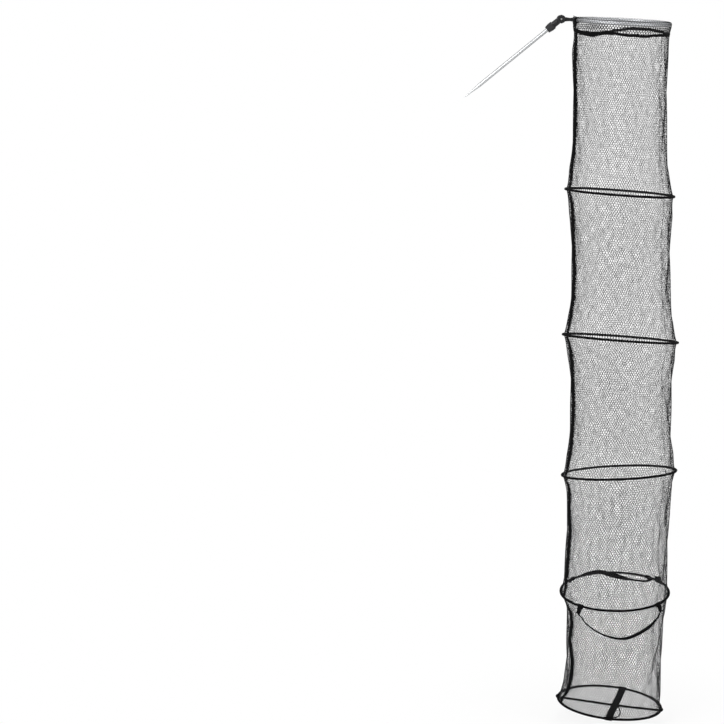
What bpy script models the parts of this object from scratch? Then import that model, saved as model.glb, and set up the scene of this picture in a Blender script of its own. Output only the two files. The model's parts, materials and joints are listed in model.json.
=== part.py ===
"""Hanging keep net: a hinged rim on a ground pole, five hoops below it, netting between them, in metres, +Z up.

The origin is the point of the ground spike. The pole climbs from it towards +X, and the net hangs from the rim.
"""

import math

import bmesh
import bpy
from mathutils import Matrix, Vector

# Clearances
GAP = 0.0003
RUNNING_GAP = 0.0004
OVERRUN = 0.004

# Pole and spike
POLE_ANGLE = math.radians(39.2)
POLE_TIP_TO_HINGE = 0.419
POLE_OUTER_DIAMETER = 0.0127
POLE_WALL = 0.0011
POLE_BORE_DIAMETER = POLE_OUTER_DIAMETER - 2 * POLE_WALL
SPIKE_LENGTH = 0.068
SPIKE_TIP_DIAMETER = 0.002
SPIKE_SHANK_LENGTH = 0.025
SPIKE_SHOULDER_SHARE = 0.72
SPIKE_TAPER_SHARE = 0.3

# Fits round the pole, from the collet out to the barrel
COLLET_WALL = 0.0018
COLLET_NOSE_WALL = 0.00085
COLLET_CLEARANCE = 0.00035
THREAD_WALL = 0.00095
BARREL_STEP = 0.00125
COLLET_INNER_DIAMETER = POLE_OUTER_DIAMETER + 2 * GAP
COLLET_OUTER_DIAMETER = COLLET_INNER_DIAMETER + 2 * COLLET_WALL
COLLET_NOSE_DIAMETER = COLLET_INNER_DIAMETER + 2 * COLLET_NOSE_WALL
COLLET_BORE_DIAMETER = COLLET_OUTER_DIAMETER + 2 * COLLET_CLEARANCE
THREAD_DIAMETER = COLLET_BORE_DIAMETER + 2 * THREAD_WALL
BARREL_DIAMETER = THREAD_DIAMETER + 2 * BARREL_STEP

# Socket: barrel, threaded end and toothed disc
BARREL_OFFSET = 0.0095
BARREL_START = 0.0075
BARREL_CHAMFER = 0.0028
BARREL_SHOULDER = 0.030
THREAD_END = 0.044
COLLET_BORE_START = 0.034
POLE_TOP = 0.020
POLE_BORE_START = 0.0185
DISC_DIAMETER = 0.027
DISC_THICKNESS = 0.013
TOOTH_COUNT = 24
TOOTH_HEIGHT = 0.0012
TOOTH_INNER_DIAMETER = 0.017
TOOTH_TIP_GAP = 0.0006
TEE_CLEARANCE = 0.0012

# Collet and its nut, measured from the hinge towards the spike
COLLET_START = 0.0360
COLLET_END = 0.0510
COLLET_SLIT = math.radians(24)
NUT_END = 0.058
NUT_LIP_START = 0.0530
NUT_CAVITY_END = 0.0460
NUT_CORNER_WALL = 0.0045
NUT_FLAT_WALL = 0.00305
NUT_END_WALL = 0.0054
NUT_ACROSS_CORNERS = THREAD_DIAMETER + 2 * NUT_CORNER_WALL
NUT_ACROSS_FLATS = THREAD_DIAMETER + 2 * NUT_FLAT_WALL
NUT_END_DIAMETER = POLE_OUTER_DIAMETER + 2 * NUT_END_WALL
NUT_CHAMFER = 0.0025
NUT_FACETS = 6

# Bolt, washer, knob and its insert, stacked on the hinge axis
BOLT_DIAMETER = 0.006
BOLT_HEAD_ACROSS_CORNERS = 0.0115
BOLT_HEAD_HEIGHT = 0.004
HEAD_POCKET_FLOOR = 0.003
WASHER_DIAMETER = 0.017
WASHER_THICKNESS = 0.0012
KNOB_DIAMETER = 0.0295
KNOB_LOBES = 8
KNOB_LOBE_DEPTH = 0.0011
KNOB_HEIGHT = 0.0135
KNOB_BOSS_DIAMETER = 0.019
KNOB_BOSS_HEIGHT = 0.003
KNOB_EDGE = 0.0018
KNOB_RECESS_DIAMETER = 0.0135
KNOB_RECESS_DEPTH = 0.0055
KNOB_WEB = 0.0012
INSERT_DIAMETER = 0.0105
INSERT_SIDES = 6
BOLT_END_REACH = 0.0024

# T-piece
HINGE_TO_CROSSBAR = 0.0484
CROSSBAR_LENGTH = 0.052
STEM_HEIGHT = 0.0150
STEM_WAIST_HEIGHT = 0.0115
STEM_THICKNESS = 0.0105
STEM_CORNER = 0.003
STEM_START_SHARE = 0.45
STEM_WAIST_SHARE = 0.55

# Rim
RIM_TILT = math.radians(2.6)
RIM_RADIUS = 0.160
RIM_TUBE_DIAMETER = 0.0120
RIM_TUBE_WALL = 0.0010
RIM_TUBE_BORE = RIM_TUBE_DIAMETER - 2 * RIM_TUBE_WALL
CROSSBAR_WALL = 0.0035
CROSSBAR_DIAMETER = RIM_TUBE_DIAMETER + 2 * CROSSBAR_WALL
RIM_TUBE_INSET = 0.018
RIM_NET_THICKNESS = 0.0010
WRAP_LENGTH = 0.013
WRAP_THICKNESS = 0.0020
COLLAR_DROP = 0.035
COLLAR_FRONT_DROOP = math.radians(2.0)
COLLAR_HEIGHT = 0.0095
COLLAR_THICKNESS = 0.0018
COLLAR_SPREAD = 0.0010
COLLAR_NET_RADIUS = RIM_RADIUS + COLLAR_SPREAD
SKIRT_FOLD_SHARE = 0.5

# Netting and hoops
NET_THICKNESS = 0.0010
NET_STRAND = 0.0060
NECK_ROW_COUNT = 2
NET_ROW_COUNTS = (2, 3, 3, 3, 3)
NECK_LENGTH = 0.270
SECTION_LENGTHS = (0.583, 0.507, 0.477, 0.434, 0.414)
HOOP_DIAMETERS = (0.373, 0.399, 0.400, 0.383, 0.370)
FIRST_WAIST_DEPTH = 0.008
WAIST_RADII = (COLLAR_NET_RADIUS - FIRST_WAIST_DEPTH, 0.1640, 0.1680, 0.1790, 0.1700)
HOOP_OFFSETS = (0.004, 0.017, 0.023, 0.017, 0.007)
SLOPES_RIGHT = tuple(math.radians(a) for a in (3.9, 4.0, -3.1, -1.5, 4.2))
SLOPES_BACK = tuple(math.radians(a) for a in (3.3, 7.1, 6.5, -4.5, 0.7))
HOOP_NAMES = ("hoop_1", "hoop_2", "hoop_3", "hoop_4", "base_hoop")
HOOP_ROD_DIAMETER = 0.0054
SLEEVE_THICKNESS = 0.0009
SLEEVE_EASE = 0.0009
SLEEVE_DIAMETER = HOOP_ROD_DIAMETER + 2 * (SLEEVE_EASE + SLEEVE_THICKNESS)
SLEEVE_SLIT = math.radians(70)
WAIST_SHARPNESS = 3

# Side tape
TAPE_CORNER = 15
TAPE_WIDTH = 0.016
TAPE_THICKNESS = 0.0013

# Base
BASE_NET_THICKNESS = 0.0014
BASE_GAP_PITCH = 0.050
BASE_STRAND = 0.0040
WIDE_STRAP_WIDTH = 0.026
NARROW_STRAP_WIDTH = 0.012
STRAP_THICKNESS = 0.0016
WIDE_STRAP_OFFSET = 0.0225
WIDE_STRAP_TURN = math.radians(-15)
NARROW_STRAP_TURN = math.radians(-11)
RING_TAB_WIDTH = 0.020
RING_TAB_DEPTH = 0.0085
RING_TAB_HEIGHT = 0.010
BASE_RING_WIRE = 0.0035
BASE_RING_WIDTH = 0.040
BASE_RING_DROP = 0.038
RING_BAR_SHARE = 0.45
BOW_START = math.radians(22.5)
BOW_SWEEP = math.radians(225)

# Carrying handles on hoop_4
HANDLE_WIDTH = 0.0085
HANDLE_THICKNESS = 0.0050
HANDLE_STAND_OFF = 0.0105
HANDLE_END_RUN = 0.008
TAB_LENGTH = 0.016
TAB_THICKNESS = 0.0016
TAIL_THICKNESS = 0.0012
TAB_FOLD_FROM = math.radians(-45)
TAB_FOLD_TO = math.radians(115)
HANDLE_SAG = 0.098
FRONT_HANDLE_FROM = math.radians(225)
FRONT_HANDLE_TO = math.radians(315)
FRONT_TURN_SHARES = (0, 0.03, 0.11, 0.21, 0.35, 0.52, 0.67, 0.82, 0.93, 0.985, 1)
FRONT_DROP_SHARES = (0.22, 0.32, 0.56, 0.75, 0.92, 1, 0.88, 0.68, 0.46, 0.30, 0.22)
REAR_HANDLE_SAG = 0.028
REAR_HANDLE_FROM = math.radians(135)
REAR_HANDLE_TO = math.radians(45)
REAR_TURN_SHARES = (0, 0.10, 0.22, 0.34, 0.44, 0.54, 0.66, 0.78, 0.89, 0.96, 1)
REAR_DROP_SHARES = (0.55, 0.32, 0, -0.05, 0.12, 0.50, 0.86, 1, 0.97, 0.82, 0.55)
REAR_OUT_SHARES = (1, 1, 0.95, 0.95, 0.95, 1, 1, 1, 1, 1, 1)

# Mesh fineness
ROUND_SEGMENTS = 24
RING_SEGMENTS = 28
HOOP_SIDES = 6
RIM_SIDES = 8
SLEEVE_STEPS = 4
STRAP_STEPS = 22
STRAP_SIDES = 6
BOW_STEPS = 16

BLACK_PLASTIC = ("black_plastic", (0.045, 0.046, 0.050), 0.42, 0)
ALUMINIUM = ("aluminium", (0.72, 0.73, 0.75), 0.30, 1)
BRIGHT_STEEL = ("bright_steel", (0.70, 0.70, 0.68), 0.22, 1)
BRASS = ("brass", (0.62, 0.48, 0.22), 0.32, 1)
BLACK_NETTING = ("black_netting", (0.030, 0.030, 0.033), 0.70, 0)
BLACK_WEBBING = ("black_webbing", (0.018, 0.018, 0.020), 0.85, 0)


def clear_scene():
    for obj in list(bpy.data.objects):
        bpy.data.objects.remove(obj)


def material(spec):
    name, colour, roughness, metallic = spec
    made = bpy.data.materials.get(name) or bpy.data.materials.new(name)
    made.use_nodes = True
    shader = made.node_tree.nodes["Principled BSDF"]
    shader.inputs["Base Color"].default_value = (*colour, 1)
    shader.inputs["Roughness"].default_value = roughness
    shader.inputs["Metallic"].default_value = metallic
    return made


def new_object(name, verts, faces, finish, frame=None):
    """An object from points and faces, welded, turned outwards and shaded smooth."""
    mesh = bpy.data.meshes.new(name)
    mesh.from_pydata([tuple(v) for v in verts], [], faces)
    tidy = bmesh.new()
    tidy.from_mesh(mesh)
    bmesh.ops.remove_doubles(tidy, verts=tidy.verts, dist=GAP / 1000)
    bmesh.ops.recalc_face_normals(tidy, faces=tidy.faces)
    if tidy.calc_volume(signed=True) < 0:
        bmesh.ops.reverse_faces(tidy, faces=tidy.faces)
    tidy.to_mesh(mesh)
    tidy.free()
    mesh.shade_smooth()
    mesh.set_sharp_from_angle(angle=math.radians(35))
    mesh.materials.append(material(finish))
    obj = bpy.data.objects.new(name, mesh)
    obj.matrix_world = frame or Matrix()
    bpy.context.scene.collection.objects.link(obj)
    return obj


def skin(name, sections, closed, finish, frame=None):
    """A solid through closed outlines, which join round into a ring or are capped at both ends."""
    size = len(sections[0])
    verts = [p for section in sections for p in section]
    last = len(sections) if closed else len(sections) - 1
    faces = []
    for i in range(last):
        a, b = i * size, (i + 1) % len(sections) * size
        for j in range(size):
            k = (j + 1) % size
            faces.append((a + j, a + k, b + k, b + j))
    if not closed:
        faces.append(tuple(range(size))[::-1])
        faces.append(tuple(range((len(sections) - 1) * size, len(sections) * size)))
    return new_object(name, verts, faces, finish, frame)


def turned(name, outline, finish, frame=None, segments=ROUND_SEGMENTS, reach=None):
    """A closed (radius, height) outline turned about Z. reach scales the outer radii by angle, for facets and lobes."""
    sections = []
    for i in range(segments):
        angle = math.tau * i / segments
        row = []
        for radius, height, *outer in outline:
            r = radius * (reach(angle) if outer and reach else 1)
            row.append(Vector((r * math.cos(angle), r * math.sin(angle), height)))
        sections.append(row)
    return skin(name, sections, True, finish, frame)


def helper(obj):
    obj.hide_render = True
    obj.display_type = "WIRE"
    return obj


def boolean(obj, other, operation):
    """Joins or cuts obj with other, which becomes a hidden helper that moves with it."""
    cut = obj.modifiers.new(operation.lower(), "BOOLEAN")
    cut.operation = operation
    cut.object = helper(other)
    other.parent = obj
    other.matrix_parent_inverse = obj.matrix_world.inverted()
    return obj


def carry(name, carrier, place, pieces):
    """An empty on a joint's axis, which carries the pieces that move with it and is carried by another empty."""
    pivot = bpy.data.objects.new(name, None)
    pivot.matrix_world = Matrix.Translation(place)
    bpy.context.scene.collection.objects.link(pivot)
    if carrier:
        pivot.parent = carrier
        pivot.matrix_parent_inverse = carrier.matrix_world.inverted()
    for piece in pieces:
        obj = bpy.data.objects[piece]
        obj.parent = pivot
        obj.matrix_parent_inverse = pivot.matrix_world.inverted()
    return pivot


def rod(name, radius, start, end, finish, frame, segments=ROUND_SEGMENTS):
    outline = [(0, start), (radius, start), (radius, end), (0, end)]
    return turned(name, outline, finish, frame, segments)


def bent_rod(name, ring_radius, radius, angles, finish, frame, sides=RIM_SIDES):
    """A solid bar of round section through angles about Z."""
    rows = []
    for along in angles:
        rows.append([on_ring(ring_radius, radius, along, math.tau * j / sides) for j in range(sides)])
    return skin(name, rows, False, finish, frame)


def on_ring(ring_radius, radius, along, around):
    """The point of a ring's tube at an angle along the ring and an angle around the tube."""
    reach = ring_radius + radius * math.cos(around)
    return Vector((reach * math.cos(along), reach * math.sin(along), radius * math.sin(around)))


def bent_tube(name, ring_radius, outer, inner, angles, finish, frame, sides=RIM_SIDES):
    """A tube through angles about Z, open at both ends."""
    rows = []
    for j in range(sides):
        around = math.tau * j / sides
        outside = [on_ring(ring_radius, outer, a, around) for a in angles]
        inside = [on_ring(ring_radius, inner, a, around) for a in reversed(angles)]
        rows.append(outside + inside)
    return skin(name, rows, True, finish, frame)


def frame_of(origin, z_axis, x_hint):
    z = z_axis.normalized()
    x = (x_hint - z * x_hint.dot(z)).normalized()
    y = z.cross(x)
    return Matrix.Translation(origin) @ Matrix((x, y, z)).transposed().to_4x4()


def ring_frame(centre, slope_right, slope_back):
    tilt = Matrix.Rotation(slope_right, 4, "Y") @ Matrix.Rotation(-slope_back, 4, "X")
    return Matrix.Translation(centre) @ tilt


POLE_AXIS = Vector((math.cos(POLE_ANGLE), 0, math.sin(POLE_ANGLE)))
HINGE = POLE_AXIS * POLE_TIP_TO_HINGE
TEE_MIDDLE = TOOTH_TIP_GAP / 2 + DISC_THICKNESS / 2
POLE_FRAME = frame_of(Vector(), POLE_AXIS, Vector((0, 1, 0)))
SOCKET_FRAME = frame_of(HINGE, -POLE_AXIS, Vector((0, 1, 0)))
HINGE_FRAME = frame_of(HINGE - Vector((0, BARREL_OFFSET, 0)), Vector((0, -1, 0)), Vector((1, 0, 0)))
TEE_FRAME = (
    Matrix.Translation(HINGE - Vector((0, BARREL_OFFSET, 0)))
    @ Matrix.Rotation(RIM_TILT, 4, "Y")
    @ Matrix.Translation(-HINGE + Vector((0, BARREL_OFFSET, 0)))
    @ HINGE_FRAME
)
RIM_FRAME = (
    Matrix.Translation(HINGE - Vector((0, BARREL_OFFSET + TEE_MIDDLE, 0)))
    @ Matrix.Rotation(RIM_TILT, 4, "Y")
    @ Matrix.Translation((HINGE_TO_CROSSBAR + RIM_RADIUS, 0, 0))
)
RIM_CENTRE = RIM_FRAME.translation
COLLAR_FRAME = (
    RIM_FRAME
    @ Matrix.Translation((0, 0, -COLLAR_DROP))
    @ Matrix.Rotation(COLLAR_FRONT_DROOP, 4, "X")
)


def hoop_frames():
    frames = []
    drop = 0
    for i, length in enumerate(SECTION_LENGTHS):
        drop += length
        centre = RIM_CENTRE + Vector((HOOP_OFFSETS[i], 0, -drop))
        frames.append(ring_frame(centre, SLOPES_RIGHT[i], SLOPES_BACK[i]))
    return frames


HOOP_FRAMES = hoop_frames()


def make_pole():
    outer, bore = POLE_OUTER_DIAMETER / 2, POLE_BORE_DIAMETER / 2
    top = POLE_TIP_TO_HINGE - POLE_TOP
    bottom = SPIKE_LENGTH + GAP
    turned("pole_tube", [(bore, bottom), (outer, bottom), (outer, top), (bore, top)], ALUMINIUM, POLE_FRAME)
    shank = bore - GAP
    spike = [
        (0, 0),
        (SPIKE_TIP_DIAMETER / 2, 0),
        (outer * SPIKE_SHOULDER_SHARE, SPIKE_LENGTH * (1 - SPIKE_TAPER_SHARE)),
        (outer, SPIKE_LENGTH),
        (shank, SPIKE_LENGTH),
        (shank, SPIKE_LENGTH + SPIKE_SHANK_LENGTH),
        (0, SPIKE_LENGTH + SPIKE_SHANK_LENGTH),
    ]
    turned("ground_spike", spike, ALUMINIUM, POLE_FRAME)


def toothed_disc(name, hole, finish, frame, side):
    """A disc about the hinge axis whose radial teeth face the parting plane. side is 1 or -1."""
    rows = []
    tip = TOOTH_TIP_GAP / 2
    root = tip + TOOTH_HEIGHT
    for i in range(2 * TOOTH_COUNT):
        angle = math.pi * i / TOOTH_COUNT
        tooth = tip if i % 2 == 0 else root
        outline = [
            (hole, root),
            (TOOTH_INNER_DIAMETER / 2, root),
            (TOOTH_INNER_DIAMETER / 2 + TOOTH_HEIGHT, tooth),
            (DISC_DIAMETER / 2, tooth),
            (DISC_DIAMETER / 2, tip + DISC_THICKNESS - TOOTH_HEIGHT),
            (DISC_DIAMETER / 2 - TOOTH_HEIGHT, tip + DISC_THICKNESS),
            (hole, tip + DISC_THICKNESS),
        ]
        rows.append([Vector((r * math.cos(angle), r * math.sin(angle), side * z)) for r, z in outline])
    return skin(name, rows, True, finish, frame)


def make_socket():
    """The pole-side half of the hinge: toothed disc and barrel in one moulding, bored for the pole and the collet."""
    hole = BOLT_DIAMETER / 2 + GAP
    body = toothed_disc("socket_body", hole, BLACK_PLASTIC, HINGE_FRAME, -1)
    barrel = [
        (0, BARREL_START),
        (BARREL_DIAMETER / 2 - BARREL_CHAMFER, BARREL_START),
        (BARREL_DIAMETER / 2, BARREL_START + BARREL_CHAMFER),
        (BARREL_DIAMETER / 2, BARREL_SHOULDER),
        (THREAD_DIAMETER / 2, BARREL_SHOULDER),
        (THREAD_DIAMETER / 2, THREAD_END),
        (0, THREAD_END),
    ]
    trunk = turned("barrel_trunk", barrel, BLACK_PLASTIC, SOCKET_FRAME)
    tee_room = rod(
        "tee_room",
        DISC_DIAMETER / 2 + TEE_CLEARANCE,
        -TOOTH_TIP_GAP / 2,
        DISC_THICKNESS + OVERRUN,
        BLACK_PLASTIC,
        HINGE_FRAME,
        2 * ROUND_SEGMENTS,
    )
    boolean(trunk, tee_room, "DIFFERENCE")
    boolean(body, trunk, "UNION")
    bores = [
        (0, POLE_BORE_START),
        (POLE_OUTER_DIAMETER / 2 + RUNNING_GAP, POLE_BORE_START),
        (POLE_OUTER_DIAMETER / 2 + RUNNING_GAP, COLLET_BORE_START),
        (COLLET_BORE_DIAMETER / 2, COLLET_BORE_START),
        (COLLET_BORE_DIAMETER / 2, THREAD_END + OVERRUN),
        (0, THREAD_END + OVERRUN),
    ]
    boolean(body, turned("socket_bores", bores, BLACK_PLASTIC, SOCKET_FRAME), "DIFFERENCE")
    back = -(TOOTH_TIP_GAP / 2 + DISC_THICKNESS)
    pocket = rod(
        "bolt_head_pocket",
        BOLT_HEAD_ACROSS_CORNERS / 2 + GAP,
        back - OVERRUN,
        back + BOLT_HEAD_HEIGHT + HEAD_POCKET_FLOOR - GAP,
        BLACK_PLASTIC,
        HINGE_FRAME,
        INSERT_SIDES,
    )
    boolean(body, pocket, "DIFFERENCE")


def make_collet():
    inner = COLLET_INNER_DIAMETER / 2
    rows = []
    outline = [
        (inner, COLLET_START),
        (COLLET_OUTER_DIAMETER / 2, COLLET_START),
        (COLLET_OUTER_DIAMETER / 2, NUT_CAVITY_END),
        (COLLET_NOSE_DIAMETER / 2, COLLET_END),
        (inner, COLLET_END),
    ]
    for i in range(ROUND_SEGMENTS + 1):
        angle = COLLET_SLIT / 2 + (math.tau - COLLET_SLIT) * i / ROUND_SEGMENTS
        rows.append([Vector((r * math.cos(angle), r * math.sin(angle), z)) for r, z in outline])
    skin("collet_sleeve", rows, False, BLACK_PLASTIC, SOCKET_FRAME)


def facet_reach(angle):
    """How far a six-sided nut with rounded corners reaches at this angle, as a share of its corner radius."""
    step = math.tau / NUT_FACETS
    off = (angle + step / 2) % step - step / 2
    flats = NUT_ACROSS_FLATS / NUT_ACROSS_CORNERS
    return min(1, flats / math.cos(off))


def make_collet_nut():
    corner = NUT_ACROSS_CORNERS / 2
    start = BARREL_SHOULDER + GAP
    thread = THREAD_DIAMETER / 2 + GAP
    lip = POLE_OUTER_DIAMETER / 2 + RUNNING_GAP
    outline = [
        (thread, start),
        (corner - NUT_CHAMFER / 2, start, "outer"),
        (corner, start + NUT_CHAMFER, "outer"),
        (corner, start + (NUT_END - start) / 2, "outer"),
        (NUT_END_DIAMETER / 2, NUT_END, "outer"),
        (lip, NUT_END),
        (lip, NUT_LIP_START),
        (thread, NUT_CAVITY_END),
    ]
    turned("collet_nut", outline, BLACK_PLASTIC, SOCKET_FRAME, 6 * NUT_FACETS, facet_reach)


def knob_levels():
    """Heights on the hinge axis, from the parting plane towards the knob."""
    tee_face = TOOTH_TIP_GAP / 2 + DISC_THICKNESS
    washer = tee_face + GAP
    knob = washer + WASHER_THICKNESS + GAP
    return washer, knob, knob + KNOB_HEIGHT


def make_bolt():
    back = -(TOOTH_TIP_GAP / 2 + DISC_THICKNESS)
    head = back + HEAD_POCKET_FLOOR - GAP
    recess_floor = knob_levels()[2] - KNOB_RECESS_DEPTH
    bolt = rod("hinge_bolt", BOLT_DIAMETER / 2, head, recess_floor + BOLT_END_REACH, BRIGHT_STEEL, HINGE_FRAME, 16)
    cap = rod(
        "bolt_head",
        BOLT_HEAD_ACROSS_CORNERS / 2,
        head,
        head + BOLT_HEAD_HEIGHT - GAP,
        BRIGHT_STEEL,
        HINGE_FRAME,
        INSERT_SIDES,
    )
    boolean(bolt, cap, "UNION")


def make_washer():
    low = knob_levels()[0]
    hole = BOLT_DIAMETER / 2 + GAP
    edge = WASHER_DIAMETER / 2
    outline = [(hole, low), (edge, low), (edge, low + WASHER_THICKNESS), (hole, low + WASHER_THICKNESS)]
    turned("hinge_washer", outline, BRIGHT_STEEL, HINGE_FRAME)


def knob_reach(angle):
    wave = (math.cos(KNOB_LOBES * angle) - 1) / 2
    return 1 + wave * KNOB_LOBE_DEPTH / (KNOB_DIAMETER / 2)


def make_knob():
    low, top = knob_levels()[1:]
    rim = KNOB_DIAMETER / 2
    boss = low + KNOB_BOSS_HEIGHT
    floor = top - KNOB_RECESS_DEPTH
    pocket = INSERT_DIAMETER / 2 + GAP
    neck = BOLT_DIAMETER / 2 + GAP
    outline = [
        (pocket, low),
        (KNOB_BOSS_DIAMETER / 2, low),
        (KNOB_BOSS_DIAMETER / 2, boss),
        (rim - KNOB_EDGE, boss, "outer"),
        (rim, boss + KNOB_EDGE, "outer"),
        (rim, top - KNOB_EDGE, "outer"),
        (rim - KNOB_EDGE, top, "outer"),
        (KNOB_RECESS_DIAMETER / 2, top),
        (KNOB_RECESS_DIAMETER / 2, floor),
        (neck, floor),
        (neck, floor - KNOB_WEB),
        (pocket, floor - KNOB_WEB),
    ]
    turned("locking_knob", outline, BLACK_PLASTIC, HINGE_FRAME, 4 * KNOB_LOBES, knob_reach)


def make_knob_insert():
    low, top = knob_levels()[1:]
    high = top - KNOB_RECESS_DEPTH - KNOB_WEB - GAP
    outer = INSERT_DIAMETER / 2
    insert = rod("knob_insert", outer, low, high, BRASS, HINGE_FRAME, INSERT_SIDES)
    bore = rod("insert_bore", BOLT_DIAMETER / 2 + GAP, low - OVERRUN, high + OVERRUN, BRASS, HINGE_FRAME, 16)
    boolean(insert, bore, "DIFFERENCE")


def stem_section(x, height, thickness):
    """A rounded rectangle across the stem, at distance x from the hinge."""
    corner = STEM_CORNER
    cy, cz = height / 2 - corner, thickness / 2 - corner
    points = []
    for quarter, (sy, sz) in enumerate(((1, 1), (-1, 1), (-1, -1), (1, -1))):
        for step in range(3):
            angle = math.pi / 2 * (quarter + step / 2)
            y = sy * cy + corner * math.cos(angle)
            z = sz * cz + corner * math.sin(angle)
            points.append(Vector((x, y, TEE_MIDDLE + z)))
    return points


def make_tee():
    """The rim-side half of the hinge: toothed disc, stem and curved crossbar in one moulding."""
    hole = BOLT_DIAMETER / 2 + GAP
    body = toothed_disc("tee_body", hole, BLACK_PLASTIC, TEE_FRAME, 1)
    start = DISC_DIAMETER / 2 * STEM_START_SHARE
    waist = start + (HINGE_TO_CROSSBAR - start) * STEM_WAIST_SHARE
    rows = [
        stem_section(start, STEM_HEIGHT, STEM_THICKNESS),
        stem_section(DISC_DIAMETER / 2, STEM_HEIGHT, STEM_THICKNESS),
        stem_section(waist, STEM_WAIST_HEIGHT, STEM_THICKNESS),
        stem_section(HINGE_TO_CROSSBAR, STEM_HEIGHT, STEM_THICKNESS),
    ]
    boolean(body, skin("tee_stem", rows, False, BLACK_PLASTIC, TEE_FRAME), "UNION")
    inset, mouth = rim_turns()[:2]
    end = CROSSBAR_LENGTH / 2 / RIM_RADIUS
    bar_angles = [math.pi + turn for turn in (-end, -inset, inset, end)]
    bar = bent_rod("tee_crossbar", RIM_RADIUS, CROSSBAR_DIAMETER / 2, bar_angles, BLACK_PLASTIC, RIM_FRAME, 16)
    boolean(body, bar, "UNION")
    past = mouth + OVERRUN / RIM_RADIUS
    bore_angles = [math.pi + turn for turn in (-past, -mouth, -inset, inset, mouth, past)]
    bore_radius = RIM_TUBE_DIAMETER / 2 + GAP
    bore = bent_rod("crossbar_bore", RIM_RADIUS, bore_radius, bore_angles, BLACK_PLASTIC, RIM_FRAME)
    boolean(body, bore, "DIFFERENCE")


def rim_turns():
    """Angles from the middle of the crossbar: where the tube starts, where it leaves the bar, and the wrap's end."""
    inset = (CROSSBAR_LENGTH / 2 - RIM_TUBE_INSET) / RIM_RADIUS
    mouth = (CROSSBAR_LENGTH / 2 + GAP) / RIM_RADIUS
    return inset, mouth, mouth + WRAP_LENGTH / RIM_RADIUS


def make_rim():
    """The tube, the netting folded over it with its band down to the collar, and a wrap at each end of the fold."""
    inset, mouth, wrap_end = rim_turns()
    free = math.tau - 2 * wrap_end
    evenly = [wrap_end + free * i / RING_SEGMENTS for i in range(RING_SEGMENTS + 1)]
    covered = [math.pi + turn for turn in (mouth, *evenly, math.tau - mouth)]
    whole = [math.pi + inset, *covered, 3 * math.pi - inset]
    outer, bore = RIM_TUBE_DIAMETER / 2, RIM_TUBE_BORE / 2
    bent_tube("rim_tube", RIM_RADIUS, outer, bore, whole, ALUMINIUM, RIM_FRAME)
    inside = outer + GAP
    outside = inside + RIM_NET_THICKNESS
    fold = bent_tube("rim_netting", RIM_RADIUS, outside, inside, covered, BLACK_NETTING, RIM_FRAME)
    under_wrap = outside + GAP
    over_wrap = under_wrap + WRAP_THICKNESS
    for name, side in (("rim_wrap_front", 1), ("rim_wrap_rear", -1)):
        ends = [math.pi + side * mouth, math.pi + side * wrap_end]
        bent_tube(name, RIM_RADIUS, over_wrap, under_wrap, ends, BLACK_WEBBING, RIM_FRAME)
    join_skirt(fold, outside, max(over_wrap, CROSSBAR_DIAMETER / 2) + GAP, wrap_end)


def join_skirt(fold, fold_radius, slot_radius, slot_turn):
    """Adds the flat band that hangs from the folded netting down to the collar tape."""
    top = RIM_FRAME @ Matrix.Translation((0, 0, -fold_radius + RIM_NET_THICKNESS * SKIRT_FOLD_SHARE))
    span = Span(top, COLLAR_FRAME, RIM_RADIUS + NET_THICKNESS / 2, COLLAR_NET_RADIUS, None)
    skirt = net_wall("skirt_band", span, 0, 1, 2, BLACK_NETTING)
    reach = slot_turn + RUNNING_GAP / RIM_RADIUS
    steps = 8
    angles = [math.pi + reach * (2 * i / steps - 1) for i in range(steps + 1)]
    slot = bent_rod("crossbar_slot", RIM_RADIUS, slot_radius, angles, BLACK_NETTING, RIM_FRAME, 16)
    boolean(skirt, slot, "DIFFERENCE")
    boolean(fold, skirt, "UNION")


class Span:
    """The netting between two rings: its wall's place at a share of the way down and an angle round."""

    def __init__(self, top, bottom, top_radius, bottom_radius, waist_radius):
        self.top, self.bottom = top, bottom
        self.top_radius, self.bottom_radius, self.waist_radius = top_radius, bottom_radius, waist_radius

    def length(self):
        return (self.top.translation - self.bottom.translation).length

    def radius(self, t):
        if self.waist_radius is None:
            return self.top_radius + (self.bottom_radius - self.top_radius) * t
        end = self.top_radius if 2 * t < 1 else self.bottom_radius
        return self.waist_radius + (end - self.waist_radius) * abs(2 * t - 1) ** WAIST_SHARPNESS

    def point(self, t, angle, lift=0):
        frame = self.top.lerp(self.bottom, t)
        reach = self.radius(t) + lift
        return frame @ Vector((reach * math.cos(angle), reach * math.sin(angle), 0))


def net_wall(name, span, start, end, rows, finish):
    """A thin tube of netting over part of a span, open at both ends."""
    shares = [start + (end - start) * i / rows for i in range(rows + 1)]
    sections = []
    for i in range(RING_SEGMENTS):
        angle = math.tau * i / RING_SEGMENTS
        outside = [span.point(t, angle) for t in shares]
        inside = [span.point(t, angle, -NET_THICKNESS) for t in reversed(shares)]
        sections.append(outside + inside)
    return skin(name, sections, True, finish)


def ring_shares(span, start, end, rows):
    """The middles of the netting's rings, evenly down from one edge of it to the other."""
    half = NET_STRAND / 2 / span.length()
    return [start + half + (end - start - 2 * half) * i / rows for i in range(rows + 1)]


def straight_radius(span, shares, t):
    """The netting's radius where it runs straight from each of these shares to the next."""
    i = max(k for k in range(len(shares) - 1) if k == 0 or shares[k] <= t)
    part = (t - shares[i]) / (shares[i + 1] - shares[i])
    return span.radius(shares[i]) + (span.radius(shares[i + 1]) - span.radius(shares[i])) * part


def on_flats(span, shares, t, corner, off, lift):
    """A point beside a corner of the netting's many-sided wall, lifted straight off the flat that it is on."""
    half_side = math.pi / RING_SEGMENTS
    flat = straight_radius(span, shares, t) * math.cos(half_side) + lift
    reach = flat / math.cos(half_side - abs(off))
    return span.point(t, 2 * half_side * corner + off, reach - span.radius(t))


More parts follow.
